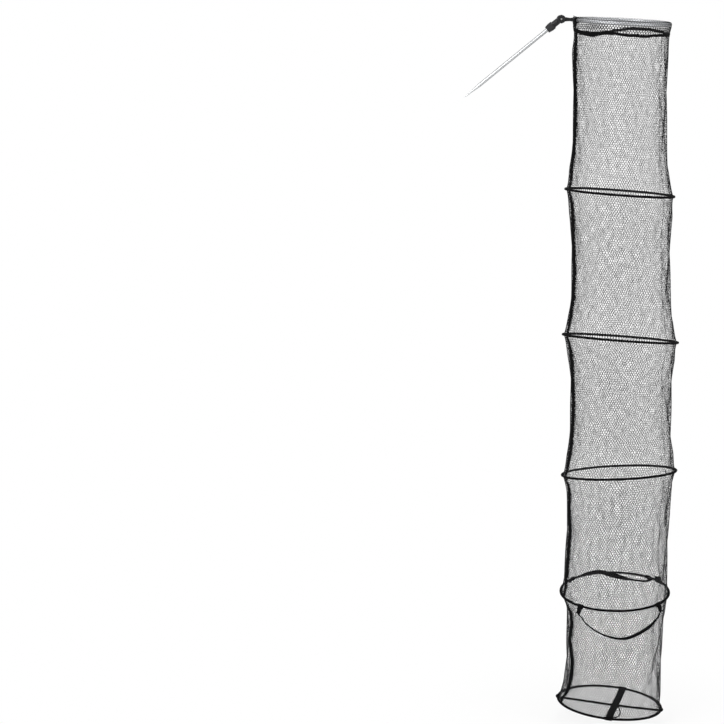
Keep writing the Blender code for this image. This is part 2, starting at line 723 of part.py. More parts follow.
def net_grid(name, span, shares):
    """Netting as rings joined by upright strands, each flat outside with a ridge inside. One strand is under the tape."""
    tall = NET_STRAND / 2 / span.length()
    columns = [k for k in range(RING_SEGMENTS) if (k - TAPE_CORNER) % 2 == 0]
    verts, faces, nodes, middles = [], [], [], []
    for i, t in enumerate(shares):
        half = NET_STRAND / 2 / span.radius(t)
        for corner in columns:
            nodes.append(len(verts))
            around = ((-tall, -half), (-tall, half), (tall, half), (tall, -half))
            verts += [on_flats(span, shares, t + down, corner, off, 0) for down, off in around]
            verts.append(on_flats(span, shares, t, corner, 0, -NET_THICKNESS))
            if i in (0, len(shares) - 1):
                middles.append(len(verts))
                verts += [on_flats(span, shares, t + down, corner + 1, 0, 0) for down in (-tall, tall)]
                verts.append(on_flats(span, shares, t, corner + 1, 0, -NET_THICKNESS))
            else:
                middles.append(None)
    count = len(columns)
    for n, (node, middle) in enumerate(zip(nodes, middles)):
        row = n // count
        beside = nodes[row * count + (n + 1) % count]
        faces.append((node, node + 1, node + 2, node + 3))
        stations = [(node + 1, node + 4, node + 2), (beside, beside + 4, beside + 3)]
        if middle is not None:
            stations.insert(1, (middle, middle + 2, middle + 1))
        faces += strand_faces(stations)
        if row == 0:
            faces.append((node, node + 1, node + 4))
        if row == len(shares) - 1:
            faces.append((node + 3, node + 2, node + 4))
        else:
            below = nodes[n + count]
            faces += strand_faces([(node + 3, node + 4, node + 2), (below, below + 4, below + 1)])
    return new_object(name, verts, faces, BLACK_NETTING)


def strand_faces(stations):
    """The three sides of a strand through triangles of (edge, ridge, edge)."""
    faces = []
    for a, b in zip(stations, stations[1:]):
        faces += [(a[j], a[(j + 1) % 3], b[(j + 1) % 3], b[j]) for j in range(3)]
    return faces


def side_tape(name, span, shares, start, end):
    """A strip of webbing down the outside, on the two flats of the netting that meet under its middle."""
    sections = []
    for t in [start, *(share for share in shares if start < share < end), end]:
        half = TAPE_WIDTH / 2 / span.radius(t)
        turns = (-half, 0, half)
        outside = [on_flats(span, shares, t, TAPE_CORNER, a, GAP + TAPE_THICKNESS) for a in turns]
        inside = [on_flats(span, shares, t, TAPE_CORNER, a, GAP) for a in reversed(turns)]
        sections.append(outside + inside)
    return skin(name, sections, False, BLACK_WEBBING)


def net_radius_at(index):
    """The netting's outer radius at a hoop, where it lies against the edges of the sleeve's slit."""
    return HOOP_DIAMETERS[index] / 2 - SLEEVE_DIAMETER / 2 * math.cos(SLEEVE_SLIT / 2) - GAP


def spans():
    made = [Span(COLLAR_FRAME, HOOP_FRAMES[0], COLLAR_NET_RADIUS, net_radius_at(0), WAIST_RADII[0])]
    for i in range(1, len(HOOP_FRAMES)):
        made.append(
            Span(HOOP_FRAMES[i - 1], HOOP_FRAMES[i], net_radius_at(i - 1), net_radius_at(i), WAIST_RADII[i])
        )
    return made


def make_netting():
    """The neck below the collar, then one wall of netting for each section, with the side tape on each."""
    for i, span in enumerate(spans()):
        name = str(i + 1)
        edge = GAP / span.length()
        start, tape_start = edge, tape_end(span)
        if i == 0:
            split = NECK_LENGTH / span.length()
            shares = ring_shares(span, edge, split - edge, NECK_ROW_COUNT)
            net_grid("net_neck", span, shares)
            side_tape("side_tape_neck", span, shares, (COLLAR_HEIGHT / 2 + GAP) / span.length(), split - edge)
            start = tape_start = split + edge
        shares = ring_shares(span, start, 1 - edge, NET_ROW_COUNTS[i])
        net_grid("net_section_" + name, span, shares)
        side_tape("side_tape_" + name, span, shares, tape_start, 1 - tape_end(span))


def tape_end(span):
    """The share of a span that the hoop's sleeve takes, so the tape stops beside it."""
    return (SLEEVE_DIAMETER / 2 + GAP) / span.length()


def make_collar():
    low = COLLAR_NET_RADIUS + GAP
    edge = low + COLLAR_THICKNESS
    half = COLLAR_HEIGHT / 2
    outline = [(low, -half), (edge, -half), (edge, half), (low, half)]
    turned("collar_tape", outline, BLACK_WEBBING, COLLAR_FRAME, RING_SEGMENTS)


def make_hoops():
    """Each hoop is a rod in a fabric sleeve, whose slit faces the netting that it is sewn to."""
    for name, frame, diameter in zip(HOOP_NAMES, HOOP_FRAMES, HOOP_DIAMETERS):
        reach = diameter / 2
        rows, sleeve_rows = [], []
        for i in range(RING_SEGMENTS):
            along = math.tau * i / RING_SEGMENTS
            radius = HOOP_ROD_DIAMETER / 2
            rows.append([on_ring(reach, radius, along, math.tau * j / HOOP_SIDES) for j in range(HOOP_SIDES)])
            sleeve_rows.append(sleeve_outline(reach, along))
        skin(name, rows, True, BLACK_PLASTIC, frame)
        skin(name + "_sleeve", sleeve_rows, True, BLACK_WEBBING, frame)


def sleeve_outline(reach, along):
    """A C round the hoop's rod, open towards the axis of the net."""
    outer, inner = SLEEVE_DIAMETER / 2, SLEEVE_DIAMETER / 2 - SLEEVE_THICKNESS
    first = -math.pi + SLEEVE_SLIT / 2
    turns = [first + (math.tau - SLEEVE_SLIT) * i / SLEEVE_STEPS for i in range(SLEEVE_STEPS + 1)]
    outside = [on_ring(reach, outer, along, a) for a in turns]
    inside = [on_ring(reach, inner, along, a) for a in reversed(turns)]
    return outside + inside


def slab(name, length, width, low, high, finish, frame):
    x, y = length / 2, width / 2
    rows = [[Vector((i * x, j * y, z)) for j, z in ((-1, low), (1, low), (1, high), (-1, high))] for i in (-1, 1)]
    return skin(name, rows, False, finish, frame)


def make_base():
    frame = HOOP_FRAMES[-1]
    reach = net_radius_at(len(HOOP_FRAMES) - 1) - GAP
    top = -GAP
    floor = top - BASE_NET_THICKNESS
    net = rod("base_net", reach, floor, top, BLACK_NETTING, frame, RING_SEGMENTS)
    boolean(net, base_gaps(reach, floor - OVERRUN, top + OVERRUN, frame), "DIFFERENCE")
    chord = 2 * (reach - STRAP_THICKNESS)
    wide_high = floor - GAP
    wide_low = wide_high - STRAP_THICKNESS
    wide_frame = frame @ Matrix.Rotation(WIDE_STRAP_TURN, 4, "Z") @ Matrix.Translation((WIDE_STRAP_OFFSET, 0, 0))
    wide_length = chord * math.cos(math.asin((WIDE_STRAP_OFFSET + WIDE_STRAP_WIDTH / 2) / reach))
    slab("base_strap_wide", WIDE_STRAP_WIDTH, wide_length, wide_low, wide_high, BLACK_WEBBING, wide_frame)
    narrow_high = wide_low - GAP
    narrow_low = narrow_high - STRAP_THICKNESS
    narrow_length = chord * math.cos(math.asin(NARROW_STRAP_WIDTH / 2 / reach))
    narrow_frame = frame @ Matrix.Rotation(NARROW_STRAP_TURN, 4, "Z")
    slab("base_strap_narrow", narrow_length, NARROW_STRAP_WIDTH, narrow_low, narrow_high, BLACK_WEBBING, narrow_frame)
    return make_base_ring(wide_frame, narrow_low - GAP)


def base_gaps(reach, low, high, frame):
    """Square gaps set as diamonds, those that fit inside the rim of the base net."""
    half = (BASE_GAP_PITCH - BASE_STRAND * math.sqrt(2)) / 2
    count = int(reach / BASE_GAP_PITCH * 2) + 1
    verts, faces = [], []
    for row in range(-count, count + 1):
        for column in range(-count, count + 1):
            if (row + column) % 2:
                continue
            x, y = column * BASE_GAP_PITCH / 2, row * BASE_GAP_PITCH / 2
            if math.hypot(x, y) + half + BASE_STRAND > reach:
                continue
            corners = ((x + half, y), (x, y + half), (x - half, y), (x, y - half))
            n = len(verts)
            verts += [(u, v, z) for z in (low, high) for u, v in corners]
            faces += [(n + 3, n + 2, n + 1, n), (n + 4, n + 5, n + 6, n + 7)]
            faces += [(n + j, n + (j + 1) % 4, n + 4 + (j + 1) % 4, n + 4 + j) for j in range(4)]
    return new_object("base_net_gaps", verts, faces, BLACK_NETTING, frame)


def make_base_ring(strap_frame, high):
    """A webbing tab under the crossing of the straps, and the D-ring that swings in it."""
    frame = strap_frame @ Matrix.Translation((0, 0, high))
    tab = slab("ring_tab", RING_TAB_WIDTH, RING_TAB_DEPTH, -RING_TAB_HEIGHT, 0, BLACK_WEBBING, frame)
    axis_height = -RING_TAB_HEIGHT + RING_TAB_DEPTH / 2
    axis = frame @ Matrix.Translation((0, 0, axis_height))
    across = axis @ Matrix.Rotation(math.pi / 2, 4, "Y")
    wire = BASE_RING_WIRE / 2
    hole = rod("ring_tab_hole", wire + GAP, -RING_TAB_WIDTH, RING_TAB_WIDTH, BLACK_WEBBING, across, 12)
    boolean(tab, hole, "DIFFERENCE")
    half_bar = RING_TAB_WIDTH * RING_BAR_SHARE + BASE_RING_WIRE
    path = [Vector((half_bar * i, 0, 0)) for i in (-1, 0, 1)]
    for i in range(BOW_STEPS + 1):
        angle = BOW_START - BOW_SWEEP * i / BOW_STEPS
        x = BASE_RING_WIDTH / 2 * math.cos(angle)
        z = -BASE_RING_DROP / 2 + BASE_RING_DROP / 2 * math.sin(angle)
        path.append(Vector((x, 0, z - BASE_RING_WIRE)))
    sweep("base_ring", path, [wire] * len(path), wire, Vector((0, 1, 0)), True, 8, BRIGHT_STEEL, axis)
    return axis.translation


def sweep(name, path, half_widths, half_thickness, side, closed, sides, finish, frame=None):
    """A bar of oval section along a path. side is a direction, or one for each point, that the thickness faces."""
    rows = []
    count = len(path)
    for i, point in enumerate(path):
        before = path[i - 1] if closed or i else point
        after = path[(i + 1) % count] if closed or i < count - 1 else point
        along = (after - before).normalized()
        out = side[i] if isinstance(side, list) else side
        out = (out - along * out.dot(along)).normalized()
        wide = along.cross(out)
        rows.append(
            [
                point
                + wide * half_widths[i] * math.cos(math.tau * j / sides)
                + out * half_thickness * math.sin(math.tau * j / sides)
                for j in range(sides)
            ]
        )
    return skin(name, rows, closed, finish, frame)


def smooth_table(shares, steps):
    """Values read evenly along a smooth curve through a table's values."""
    values = [shares[0], *shares, shares[-1]]
    last = len(shares) - 1
    found = []
    for i in range(steps + 1):
        at = last * i / steps
        k = min(int(at), last - 1)
        u = at - k
        a, b, c, d = values[k : k + 4]
        found.append(
            (2 * b + (c - a) * u + (2 * a - 5 * b + 4 * c - d) * u * u + (3 * b - a - 3 * c + d) * u**3) / 2
        )
    return found


def make_handle(name, first, last, turn_shares, drop_shares, sag, out_shares):
    """A carrying strap outside hoop_4, held by a webbing tab at each end, where it is rolled round for a short run."""
    frame = HOOP_FRAMES[3]
    reach = HOOP_DIAMETERS[3] / 2
    stand_off = HANDLE_STAND_OFF + HANDLE_THICKNESS / 2
    turns = smooth_table(turn_shares, STRAP_STEPS)
    drops = smooth_table(drop_shares, STRAP_STEPS)
    outs = smooth_table(out_shares, STRAP_STEPS)
    path, sides = [], []
    for turn, drop, out in zip(turns, drops, outs):
        angle = first + (last - first) * turn
        radial = Vector((math.cos(angle), math.sin(angle), 0))
        path.append(radial * (reach + stand_off * out) - Vector((0, 0, drop * sag)))
        sides.append(radial)
    chord = (path[-1] - path[0]).normalized()
    handle_tab(name + "_tab_left", frame, reach, first, path[0], -chord)
    handle_tab(name + "_tab_right", frame, reach, last, path[-1], chord)
    path = [path[0] - chord * HANDLE_END_RUN, *path, path[-1] + chord * HANDLE_END_RUN]
    sides = [sides[0], *sides, sides[-1]]
    rolled = [HANDLE_THICKNESS / 2] * 2
    widths = rolled + [HANDLE_WIDTH / 2] * (STRAP_STEPS - 1) + rolled
    sweep(name, path, widths, HANDLE_THICKNESS / 2, sides, False, STRAP_SIDES, BLACK_WEBBING, frame)
    return frame @ ((path[0] + path[-1]) / 2)


def handle_tab(name, frame, reach, angle, strap_end, outward):
    """Webbing folded over the flat of the hoop's sleeve, whose tail twists down to the rolled end of the strap."""
    inner = SLEEVE_DIAMETER / 2 + 2 * GAP
    outer = inner + TAB_THICKNESS
    middle = reach * math.cos(math.pi / RING_SEGMENTS)
    turn = frame @ Matrix.Rotation(angle, 4, "Z") @ Matrix.Translation((middle, 0, 0))
    steps = 5
    turns = [TAB_FOLD_FROM + (TAB_FOLD_TO - TAB_FOLD_FROM) * i / steps for i in range(steps + 1)]
    fold = [(outer * math.cos(a), outer * math.sin(a)) for a in turns]
    fold += [(inner * math.cos(a), inner * math.sin(a)) for a in reversed(turns)]
    tab = extruded(name, fold, TAB_LENGTH, turn)
    radial = Vector((math.cos(angle), math.sin(angle), 0))
    along = Vector((-radial.y, radial.x, 0))
    if along.dot(outward) < 0:
        along = -along
    top = radial * (middle + (inner + outer) / 2)
    low = strap_end + outward * HANDLE_END_RUN / 2 + Vector((0, 0, HANDLE_THICKNESS / 2 + GAP))
    across = Vector((outward.y, -outward.x, 0)).normalized()
    across = across if across.dot(radial) > 0 else -across
    tail = [quad(top, along, TAB_LENGTH - TAB_THICKNESS, radial), quad(low, outward, HANDLE_END_RUN, across)]
    boolean(tab, skin(name + "_tail", tail, False, BLACK_WEBBING, frame), "UNION")


def quad(centre, along, length, across):
    """The four corners of a cut through the tail of a tab."""
    u, v = along * length / 2, across * TAIL_THICKNESS / 2
    return [centre + u + v, centre - u + v, centre - u - v, centre + u - v]


def extruded(name, outline, length, frame):
    """A webbing piece of one outline, in the X and Z of its frame, drawn out evenly to both sides along Y."""
    rows = [[Vector((x, side * length / 2, z)) for x, z in outline] for side in (-1, 1)]
    return skin(name, rows, False, BLACK_WEBBING, frame)


def main():
    clear_scene()
    make_pole()
    make_socket()
    make_collet()
    make_collet_nut()
    make_bolt()
    make_washer()
    make_knob()
    make_knob_insert()
    make_tee()
    make_rim()
    make_collar()
    make_netting()
    make_hoops()
    ring_place = make_base()
    front_place = make_handle(
        "handle_front",
        FRONT_HANDLE_FROM,
        FRONT_HANDLE_TO,
        FRONT_TURN_SHARES,
        FRONT_DROP_SHARES,
        HANDLE_SAG,
        [1] * len(FRONT_TURN_SHARES),
    )
    rear_place = make_handle(
        "handle_rear",
        REAR_HANDLE_FROM,
        REAR_HANDLE_TO,
        REAR_TURN_SHARES,
        REAR_DROP_SHARES,
        REAR_HANDLE_SAG,
        REAR_OUT_SHARES,
    )
    assemble(front_place, rear_place, ring_place)


def assemble(front_place, rear_place, ring_place):
    """Hangs each moving group on an empty at its joint, from the pole out to the base."""
    pole = carry("pole_stand", None, Vector(), ("pole_tube", "ground_spike"))
    socket = carry("socket_slide", pole, HINGE, ("socket_body", "hinge_bolt"))
    collet = carry("collet_slide", socket, HINGE, ("collet_sleeve",))
    carry("nut_turn", collet, HINGE, ("collet_nut",))
    washer = carry("washer_slide", socket, HINGE, ("hinge_washer",))
    carry("knob_turn", washer, HINGE, ("locking_knob", "knob_insert"))
    rim_pieces = ("tee_body", "rim_tube", "rim_netting", "rim_wrap_front", "rim_wrap_rear", "collar_tape")
    rim = carry("rim_tilt", socket, HINGE, rim_pieces)
    net_pieces = ("net_neck", "side_tape_neck", "net_section_1", "side_tape_1")
    above = carry("net_swing", rim, COLLAR_FRAME.translation, net_pieces)
    for i, (name, frame) in enumerate(zip(HOOP_NAMES, HOOP_FRAMES)):
        section = str(i + 2)
        pieces = [name, name + "_sleeve"]
        if name != HOOP_NAMES[-1]:
            pieces += ["net_section_" + section, "side_tape_" + section]
        above = carry(name + "_lift", above, frame.translation, pieces)
        if name == HOOP_NAMES[3]:
            tabs = [f"handle_{handle}_tab_{end}" for handle in ("front", "rear") for end in ("left", "right")]
            carry("handle_tabs", above, frame.translation, tabs)
            carry("handle_front_swing", above, front_place, ("handle_front",))
            carry("handle_rear_swing", above, rear_place, ("handle_rear",))
    carry("base_floor", above, HOOP_FRAMES[-1].translation, ("base_net", "base_strap_wide", "base_strap_narrow"))
    carry("ring_swing", above, ring_place, ("ring_tab", "base_ring"))


main()
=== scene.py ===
"""Keep net on a ground pole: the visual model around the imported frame. Metres, +Z up, seen from -Y."""

import json
from math import cos, pi, radians, sin, sqrt, tan, tau

import bpy
import numpy as np
from mathutils import Matrix, Vector
from numpy.random import default_rng

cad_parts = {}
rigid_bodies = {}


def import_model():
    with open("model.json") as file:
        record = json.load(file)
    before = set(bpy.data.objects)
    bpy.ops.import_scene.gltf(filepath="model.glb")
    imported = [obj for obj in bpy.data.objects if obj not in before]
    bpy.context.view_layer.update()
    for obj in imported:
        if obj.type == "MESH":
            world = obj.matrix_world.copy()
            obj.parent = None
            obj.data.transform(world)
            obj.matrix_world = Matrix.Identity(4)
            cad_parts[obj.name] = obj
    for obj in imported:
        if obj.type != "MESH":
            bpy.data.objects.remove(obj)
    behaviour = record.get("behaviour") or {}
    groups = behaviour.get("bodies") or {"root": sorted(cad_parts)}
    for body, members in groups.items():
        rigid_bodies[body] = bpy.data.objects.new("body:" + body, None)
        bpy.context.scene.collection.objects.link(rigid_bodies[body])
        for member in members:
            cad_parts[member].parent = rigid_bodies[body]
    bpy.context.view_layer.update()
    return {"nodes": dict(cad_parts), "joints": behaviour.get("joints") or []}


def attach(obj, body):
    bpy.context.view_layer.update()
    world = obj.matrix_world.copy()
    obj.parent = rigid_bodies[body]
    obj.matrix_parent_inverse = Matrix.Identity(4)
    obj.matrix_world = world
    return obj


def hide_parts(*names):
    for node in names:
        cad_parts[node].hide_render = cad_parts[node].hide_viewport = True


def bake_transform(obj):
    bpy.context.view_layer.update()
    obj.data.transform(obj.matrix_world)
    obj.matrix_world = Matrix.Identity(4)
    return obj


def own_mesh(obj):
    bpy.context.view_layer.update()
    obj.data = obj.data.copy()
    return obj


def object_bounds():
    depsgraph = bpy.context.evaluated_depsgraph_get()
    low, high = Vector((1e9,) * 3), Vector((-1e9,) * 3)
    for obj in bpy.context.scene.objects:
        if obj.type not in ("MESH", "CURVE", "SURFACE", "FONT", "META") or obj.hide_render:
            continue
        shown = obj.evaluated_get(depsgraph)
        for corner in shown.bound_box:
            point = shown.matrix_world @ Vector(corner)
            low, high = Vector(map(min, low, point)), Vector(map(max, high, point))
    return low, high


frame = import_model()

# Frame of the part, as in its source
GAP = 0.0003
POLE_ANGLE = radians(39.2)
POLE_TIP_TO_HINGE = 0.419
BARREL_OFFSET = 0.0095
TEE_MIDDLE = 0.0068
HINGE_TO_CROSSBAR = 0.0484
CROSSBAR_LENGTH = 0.052
RIM_TILT = radians(2.6)
RIM_RADIUS = 0.16
RIM_TUBE_RADIUS = 0.006
RIM_TUBE_SEAT = 0.018
WRAP_LENGTH = 0.013
COLLAR_DROP = 0.035
COLLAR_FRONT_DROOP = radians(2.0)
COLLAR_HEIGHT = 0.0095
COLLAR_THICKNESS = 0.0018
COLLAR_NET_RADIUS = 0.161
NECK_LENGTH = 0.27
SECTION_LENGTHS = (0.583, 0.507, 0.477, 0.434, 0.414)
HOOP_DIAMETERS = (0.373, 0.399, 0.4, 0.383, 0.37)
WAIST_RADII = (0.153, 0.164, 0.168, 0.179, 0.17)
HOOP_OFFSETS = (0.004, 0.017, 0.023, 0.017, 0.007)
SLOPES_RIGHT = tuple(radians(a) for a in (3.9, 4.0, -3.1, -1.5, 4.2))
SLOPES_BACK = tuple(radians(a) for a in (2.0, 6.4, 6.5, -4.5, 0.7))
HOOP_RISES = (0.003, 0.002, 0, 0, 0)
HOOP_NAMES = ("hoop_1", "hoop_2", "hoop_3", "hoop_4", "base_hoop")
HOOP_BODIES = ("hoop_first", "hoop_second", "hoop_third", "hoop_fourth", "base")
LIFTS = ("hoop_1_lift", "hoop_2_lift", "hoop_3_lift", "hoop_4_lift", "base_lift")
SLEEVE_RADIUS = 0.0045
SLEEVE_THICKNESS = 0.0009
SLEEVE_SLIT = radians(70)
SEEN_SLEEVE_RADIUS = 0.0041
SEEN_ROD_RADIUS = 0.0024
TAPE_AZIMUTH = radians(15 * 360 / 28)
TAPE_WIDTH = 0.016
TAPE_THICKNESS = 0.0013
STRAP_THICKNESS = 0.0016
STRAP_LEAN = radians(20)
WIDE_STRAP_WIDTH = 0.026
WIDE_STRAP_OFFSET = 0.0225
WIDE_STRAP_TURN = radians(-15)
WIDE_STRAP_MIDDLE = -0.0028
NARROW_STRAP_WIDTH = 0.012
NARROW_STRAP_TURN = radians(-11)
NARROW_STRAP_MIDDLE = -0.0047
NARROW_STRAP_BOW = -0.009
RING_TAB_WIDTH = 0.02
RING_TAB_TOP = -0.0058
RING_AXIS = -0.01155
RING_WIRE = 0.0035
SEEN_RING_WIRE = 0.0044
RING_WIDTH = 0.04
RING_DROP = 0.038
RING_HALF_BAR = 0.0125
BOW_START = radians(22.5)
BOW_SWEEP = radians(225)
HANDLE_STAND_OFF = 0.013
HANDLE_END_RUN = 0.008

# Netting: hexagonal cells of twine, folds, and the places where it is gathered
COLUMNS = 126
RIM_COLUMNS = 104
FLOOR_COLUMNS = 43
FLOOR_SPACING = 0.0083
CHAIN_SPACING = 0.0072
CHAIN_RISE = 0.0024
UPRIGHT_WIDTH = 0.0015
SLANT_WIDTH = 0.001
STRAND_DEPTH = 0.001
CELL_JITTER = 0.00042
TWINE_SHARES = (0.97, 1.08, 1.17, 1.28, 1.26)
FOLD_COUNTS = (5, 9, 14)
FOLD_DEPTHS = (0.0012, 0.0016, 0.0022)
FOLD_DRIFTS = (0.8, 1.6, 2.5)
FOLD_RISE_SHARE = 0.16
SIDE_PULLS = ((0.009, 0.002), (0.002, 0.007), (0.003, 0.009), (-0.003, -0.001), (-0.012, 0.004))
PULL_REACH = 0.75
CORNER_DEPTH = 0.0022
CORNER_TURN = 0.008
CORNER_REACH = 0.04
SEAM_AZIMUTHS = tuple(radians(a) for a in (334, 24))
GATHERED = ((TAPE_AZIMUTH, 0.5, 0.1), (SEAM_AZIMUTHS[0], 0.15, 0.08), (SEAM_AZIMUTHS[1], 0.15, 0.08))
BUNCH_STEP = 0.005
BUNCH_WIDTH = 0.001
WARP_COUNT = 14
WARP_LENGTHS = (0.014, 0.05)
WARP_SHARE = 0.015
WARP_RISE_SHARE = 0.05

# How far the tape wanders round the net, in degrees, at even steps down each section
TAPE_WANDER = (
    (0, 1, 0, -1, 0, 2, 1, -1, 0, 1, 0),
    (0, 3, 1, -1, 0, 2, 1, 0, -2, -1, 0),
    (0, 3, 2, 1, 2, 3, 1, 0, 1, -1, 0),
    (0, 4, 1, -1, 2, 3, 1, 0, -1, 0, 0),
    (0, 3, 6, 4, 1, 6, 11, 10, 8, 3, -2),
)
WANDER_STEPS = 200


def spin(angle, axis="Z"):
    return Matrix.Rotation(angle, 4, axis)


POLE_AXIS = Vector((cos(POLE_ANGLE), 0, sin(POLE_ANGLE)))
HINGE = POLE_AXIS * POLE_TIP_TO_HINGE
RIM_FRAME = (
    Matrix.Translation(HINGE - Vector((0, BARREL_OFFSET + TEE_MIDDLE, 0)))
    @ spin(RIM_TILT, "Y")
    @ Matrix.Translation((HINGE_TO_CROSSBAR + RIM_RADIUS, 0, 0))
)
RIM_CENTRE = RIM_FRAME.translation
COLLAR_FRAME = RIM_FRAME @ Matrix.Translation((0, 0, -COLLAR_DROP))
COLLAR_FRAME = COLLAR_FRAME @ spin(COLLAR_FRONT_DROOP, "X")


def ring_frame(centre, right, back):
    return Matrix.Translation(centre) @ spin(right, "Y") @ spin(-back, "X")


def hoop_frames():
    made = []
    drop = 0
    for i, length in enumerate(SECTION_LENGTHS):
        drop += length
        centre = RIM_CENTRE + Vector((HOOP_OFFSETS[i], 0, HOOP_RISES[i] - drop))
        made.append(ring_frame(centre, SLOPES_RIGHT[i], SLOPES_BACK[i]))
    return made


HOOP_FRAMES = hoop_frames()


def net_radius_at(i):
    return HOOP_DIAMETERS[i] / 2 - SLEEVE_RADIUS * cos(SLEEVE_SLIT / 2) - GAP


# Meshes


def linked(name, data):
    obj = bpy.data.objects.new(name, data)
    bpy.context.collection.objects.link(obj)
    return obj


def piece(name, material, points, faces, along=None):
    """A mesh object from an array of points and arrays of faces. along holds weave coordinates in metres."""
    groups = [np.asarray(f, np.int32) for f in faces]
    used, packed = np.unique(np.concatenate([g.ravel() for g in groups]), return_inverse=True)
    points = np.asarray(points, np.float32)[used]
    sizes = np.concatenate([np.full(len(g), g.shape[1], np.int32) for g in groups])
    mesh = bpy.data.meshes.new(name)
    mesh.vertices.add(len(points))
    mesh.vertices.foreach_set("co", points.ravel())
    mesh.loops.add(len(packed))
    mesh.loops.foreach_set("vertex_index", packed.astype(np.int32).ravel())
    mesh.polygons.add(len(sizes))
    mesh.polygons.foreach_set("loop_start", (np.cumsum(sizes) - sizes).astype(np.int32))
    mesh.polygons.foreach_set("use_smooth", np.full(len(sizes), True))
    if along is not None:
        weave = mesh.attributes.new("weave", "FLOAT_VECTOR", "POINT")
        weave.data.foreach_set("vector", np.asarray(along, np.float32)[used].ravel())
    mesh.update(calc_edges=True)
    mesh.materials.append(material)
    return linked(name, mesh)


def put(obj, body, slot, *nodes):
    """A piece rides on a body when one is given, and takes the place of nodes, which are hidden. slot is not
    used.
    """
    if body:
        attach(obj, body)
    if nodes:
        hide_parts(*nodes)


def unit(v):
    return v / np.maximum(np.linalg.norm(v, axis=-1, keepdims=True), 1e-9)


def moved(matrix, points):
    m = np.array(matrix)
    return np.asarray(points) @ m[:3, :3].T + m[:3, 3]


def turned(matrix, vectors):
    return np.asarray(vectors) @ np.array(matrix)[:3, :3].T


def round_axis(reach, angle, height):
    """Points from their distances to a ring's axis, their angles about it and their heights."""
    return np.stack([reach * np.cos(angle), reach * np.sin(angle), height], -1)


def compass(angle):
    """Directions away from a ring's axis."""
    return round_axis(1.0, angle, 0.0 * angle)


def upright(x, z):
    return np.stack([x, 0 * x, z], -1)


def full_turn(count):
    return np.arange(count) * tau / count


def run_along(path):
    """Distances of a path's points from its start."""
    return np.concatenate(([0], np.cumsum(np.linalg.norm(np.diff(path, axis=0), axis=1))))


def drift(noise, count, reach):
    """Smooth random values, about 1 in size, that change over reach steps."""
    window = np.hanning(2 * reach + 3)
    raw = noise.normal(0, 1, count + 4 * reach)
    return np.convolve(raw, window / np.sqrt((window**2).sum()), "same")[2 * reach : 2 * reach + count]


def smooth_table(values, steps):
    """Values read evenly along a smooth curve through a table's values."""
    padded = np.array([values[0], *values, values[-1]], float)
    last = len(values) - 1
    at = last * np.arange(steps + 1) / steps
    k = np.minimum(at.astype(int), last - 1)
    u = (at - k).reshape(-1, *[1] * (padded.ndim - 1))
    a, b, c, d = (padded[k + j] for j in range(4))
    return (2 * b + (c - a) * u + (2 * a - 5 * b + 4 * c - d) * u * u + (3 * b - a - 3 * c + d) * u**3) / 2


def grid_faces(rows, columns, closed_rows, closed_columns, flip=False):
    """Quads between the points of a grid of rows by columns."""
    r = np.arange(rows if closed_rows else rows - 1)[:, None]
    c = np.arange(columns if closed_columns else columns - 1)[None, :]
    r1, c1 = (r + 1) % rows, (c + 1) % columns
    corners = [r * columns + c, r1 * columns + c, r1 * columns + c1, r * columns + c1]
    quads = np.stack(corners, -1).reshape(-1, 4)
    return quads[:, ::-1] if flip else quads


def end_caps(rows, columns):
    first = np.arange(columns)[None, :]
    last = (rows - 1) * columns + first
    return [first, last[:, ::-1]]


def swept(path, side, width, depth, closed=False, sides=12, power=2.0):
    """A bar along a path. side is where its depth faces; a higher power squares its section."""
    path, side = np.asarray(path, float), np.asarray(side, float)
    if closed:
        ahead = np.roll(path, -1, 0) - np.roll(path, 1, 0)
    else:
        ahead = np.gradient(path, axis=0)
    ahead = unit(ahead)
    side = np.broadcast_to(side, path.shape)
    side = unit(side - ahead * (side * ahead).sum(-1, keepdims=True))
    wide = np.cross(ahead, side)
    turn = full_turn(sides)
    c, s = np.cos(turn), np.sin(turn)
    c = np.sign(c) * np.abs(c) ** (2 / power)
    s = np.sign(s) * np.abs(s) ** (2 / power)
    width, depth = (np.broadcast_to(np.reshape(v, (-1, 1)), (len(path), 1)) for v in (width, depth))
    across, up = wide[:, None] * (width / 2 * c)[..., None], side[:, None] * (depth / 2 * s)[..., None]
    points = path[:, None] + across + up
    run = run_along(path)[:, None]
    along = np.stack([np.repeat(run, sides, 1), width / 2 * c + 0 * run, 0 * width * c], -1)
    faces = [grid_faces(len(path), sides, closed, True, True)]
    if not closed:
        faces += end_caps(len(path), sides)
    return points.reshape(-1, 3), faces, along.reshape(-1, 3)


def bar(matrix, path, side, *section):
    """A swept bar whose path and side are given in a ring's frame."""
    return swept(moved(matrix, path), turned(matrix, side), *section)


def joined(parts):
    """One set of points, faces and weave coordinates from several."""
    faces = []
    count = 0
    for points, found, _ in parts:
        faces += [f + count for f in found]
        count += len(points)
    return np.concatenate([p[0] for p in parts]), faces, np.concatenate([p[2] for p in parts])


def around_difference(angle, centre):
    return (angle - centre + pi) % tau - pi


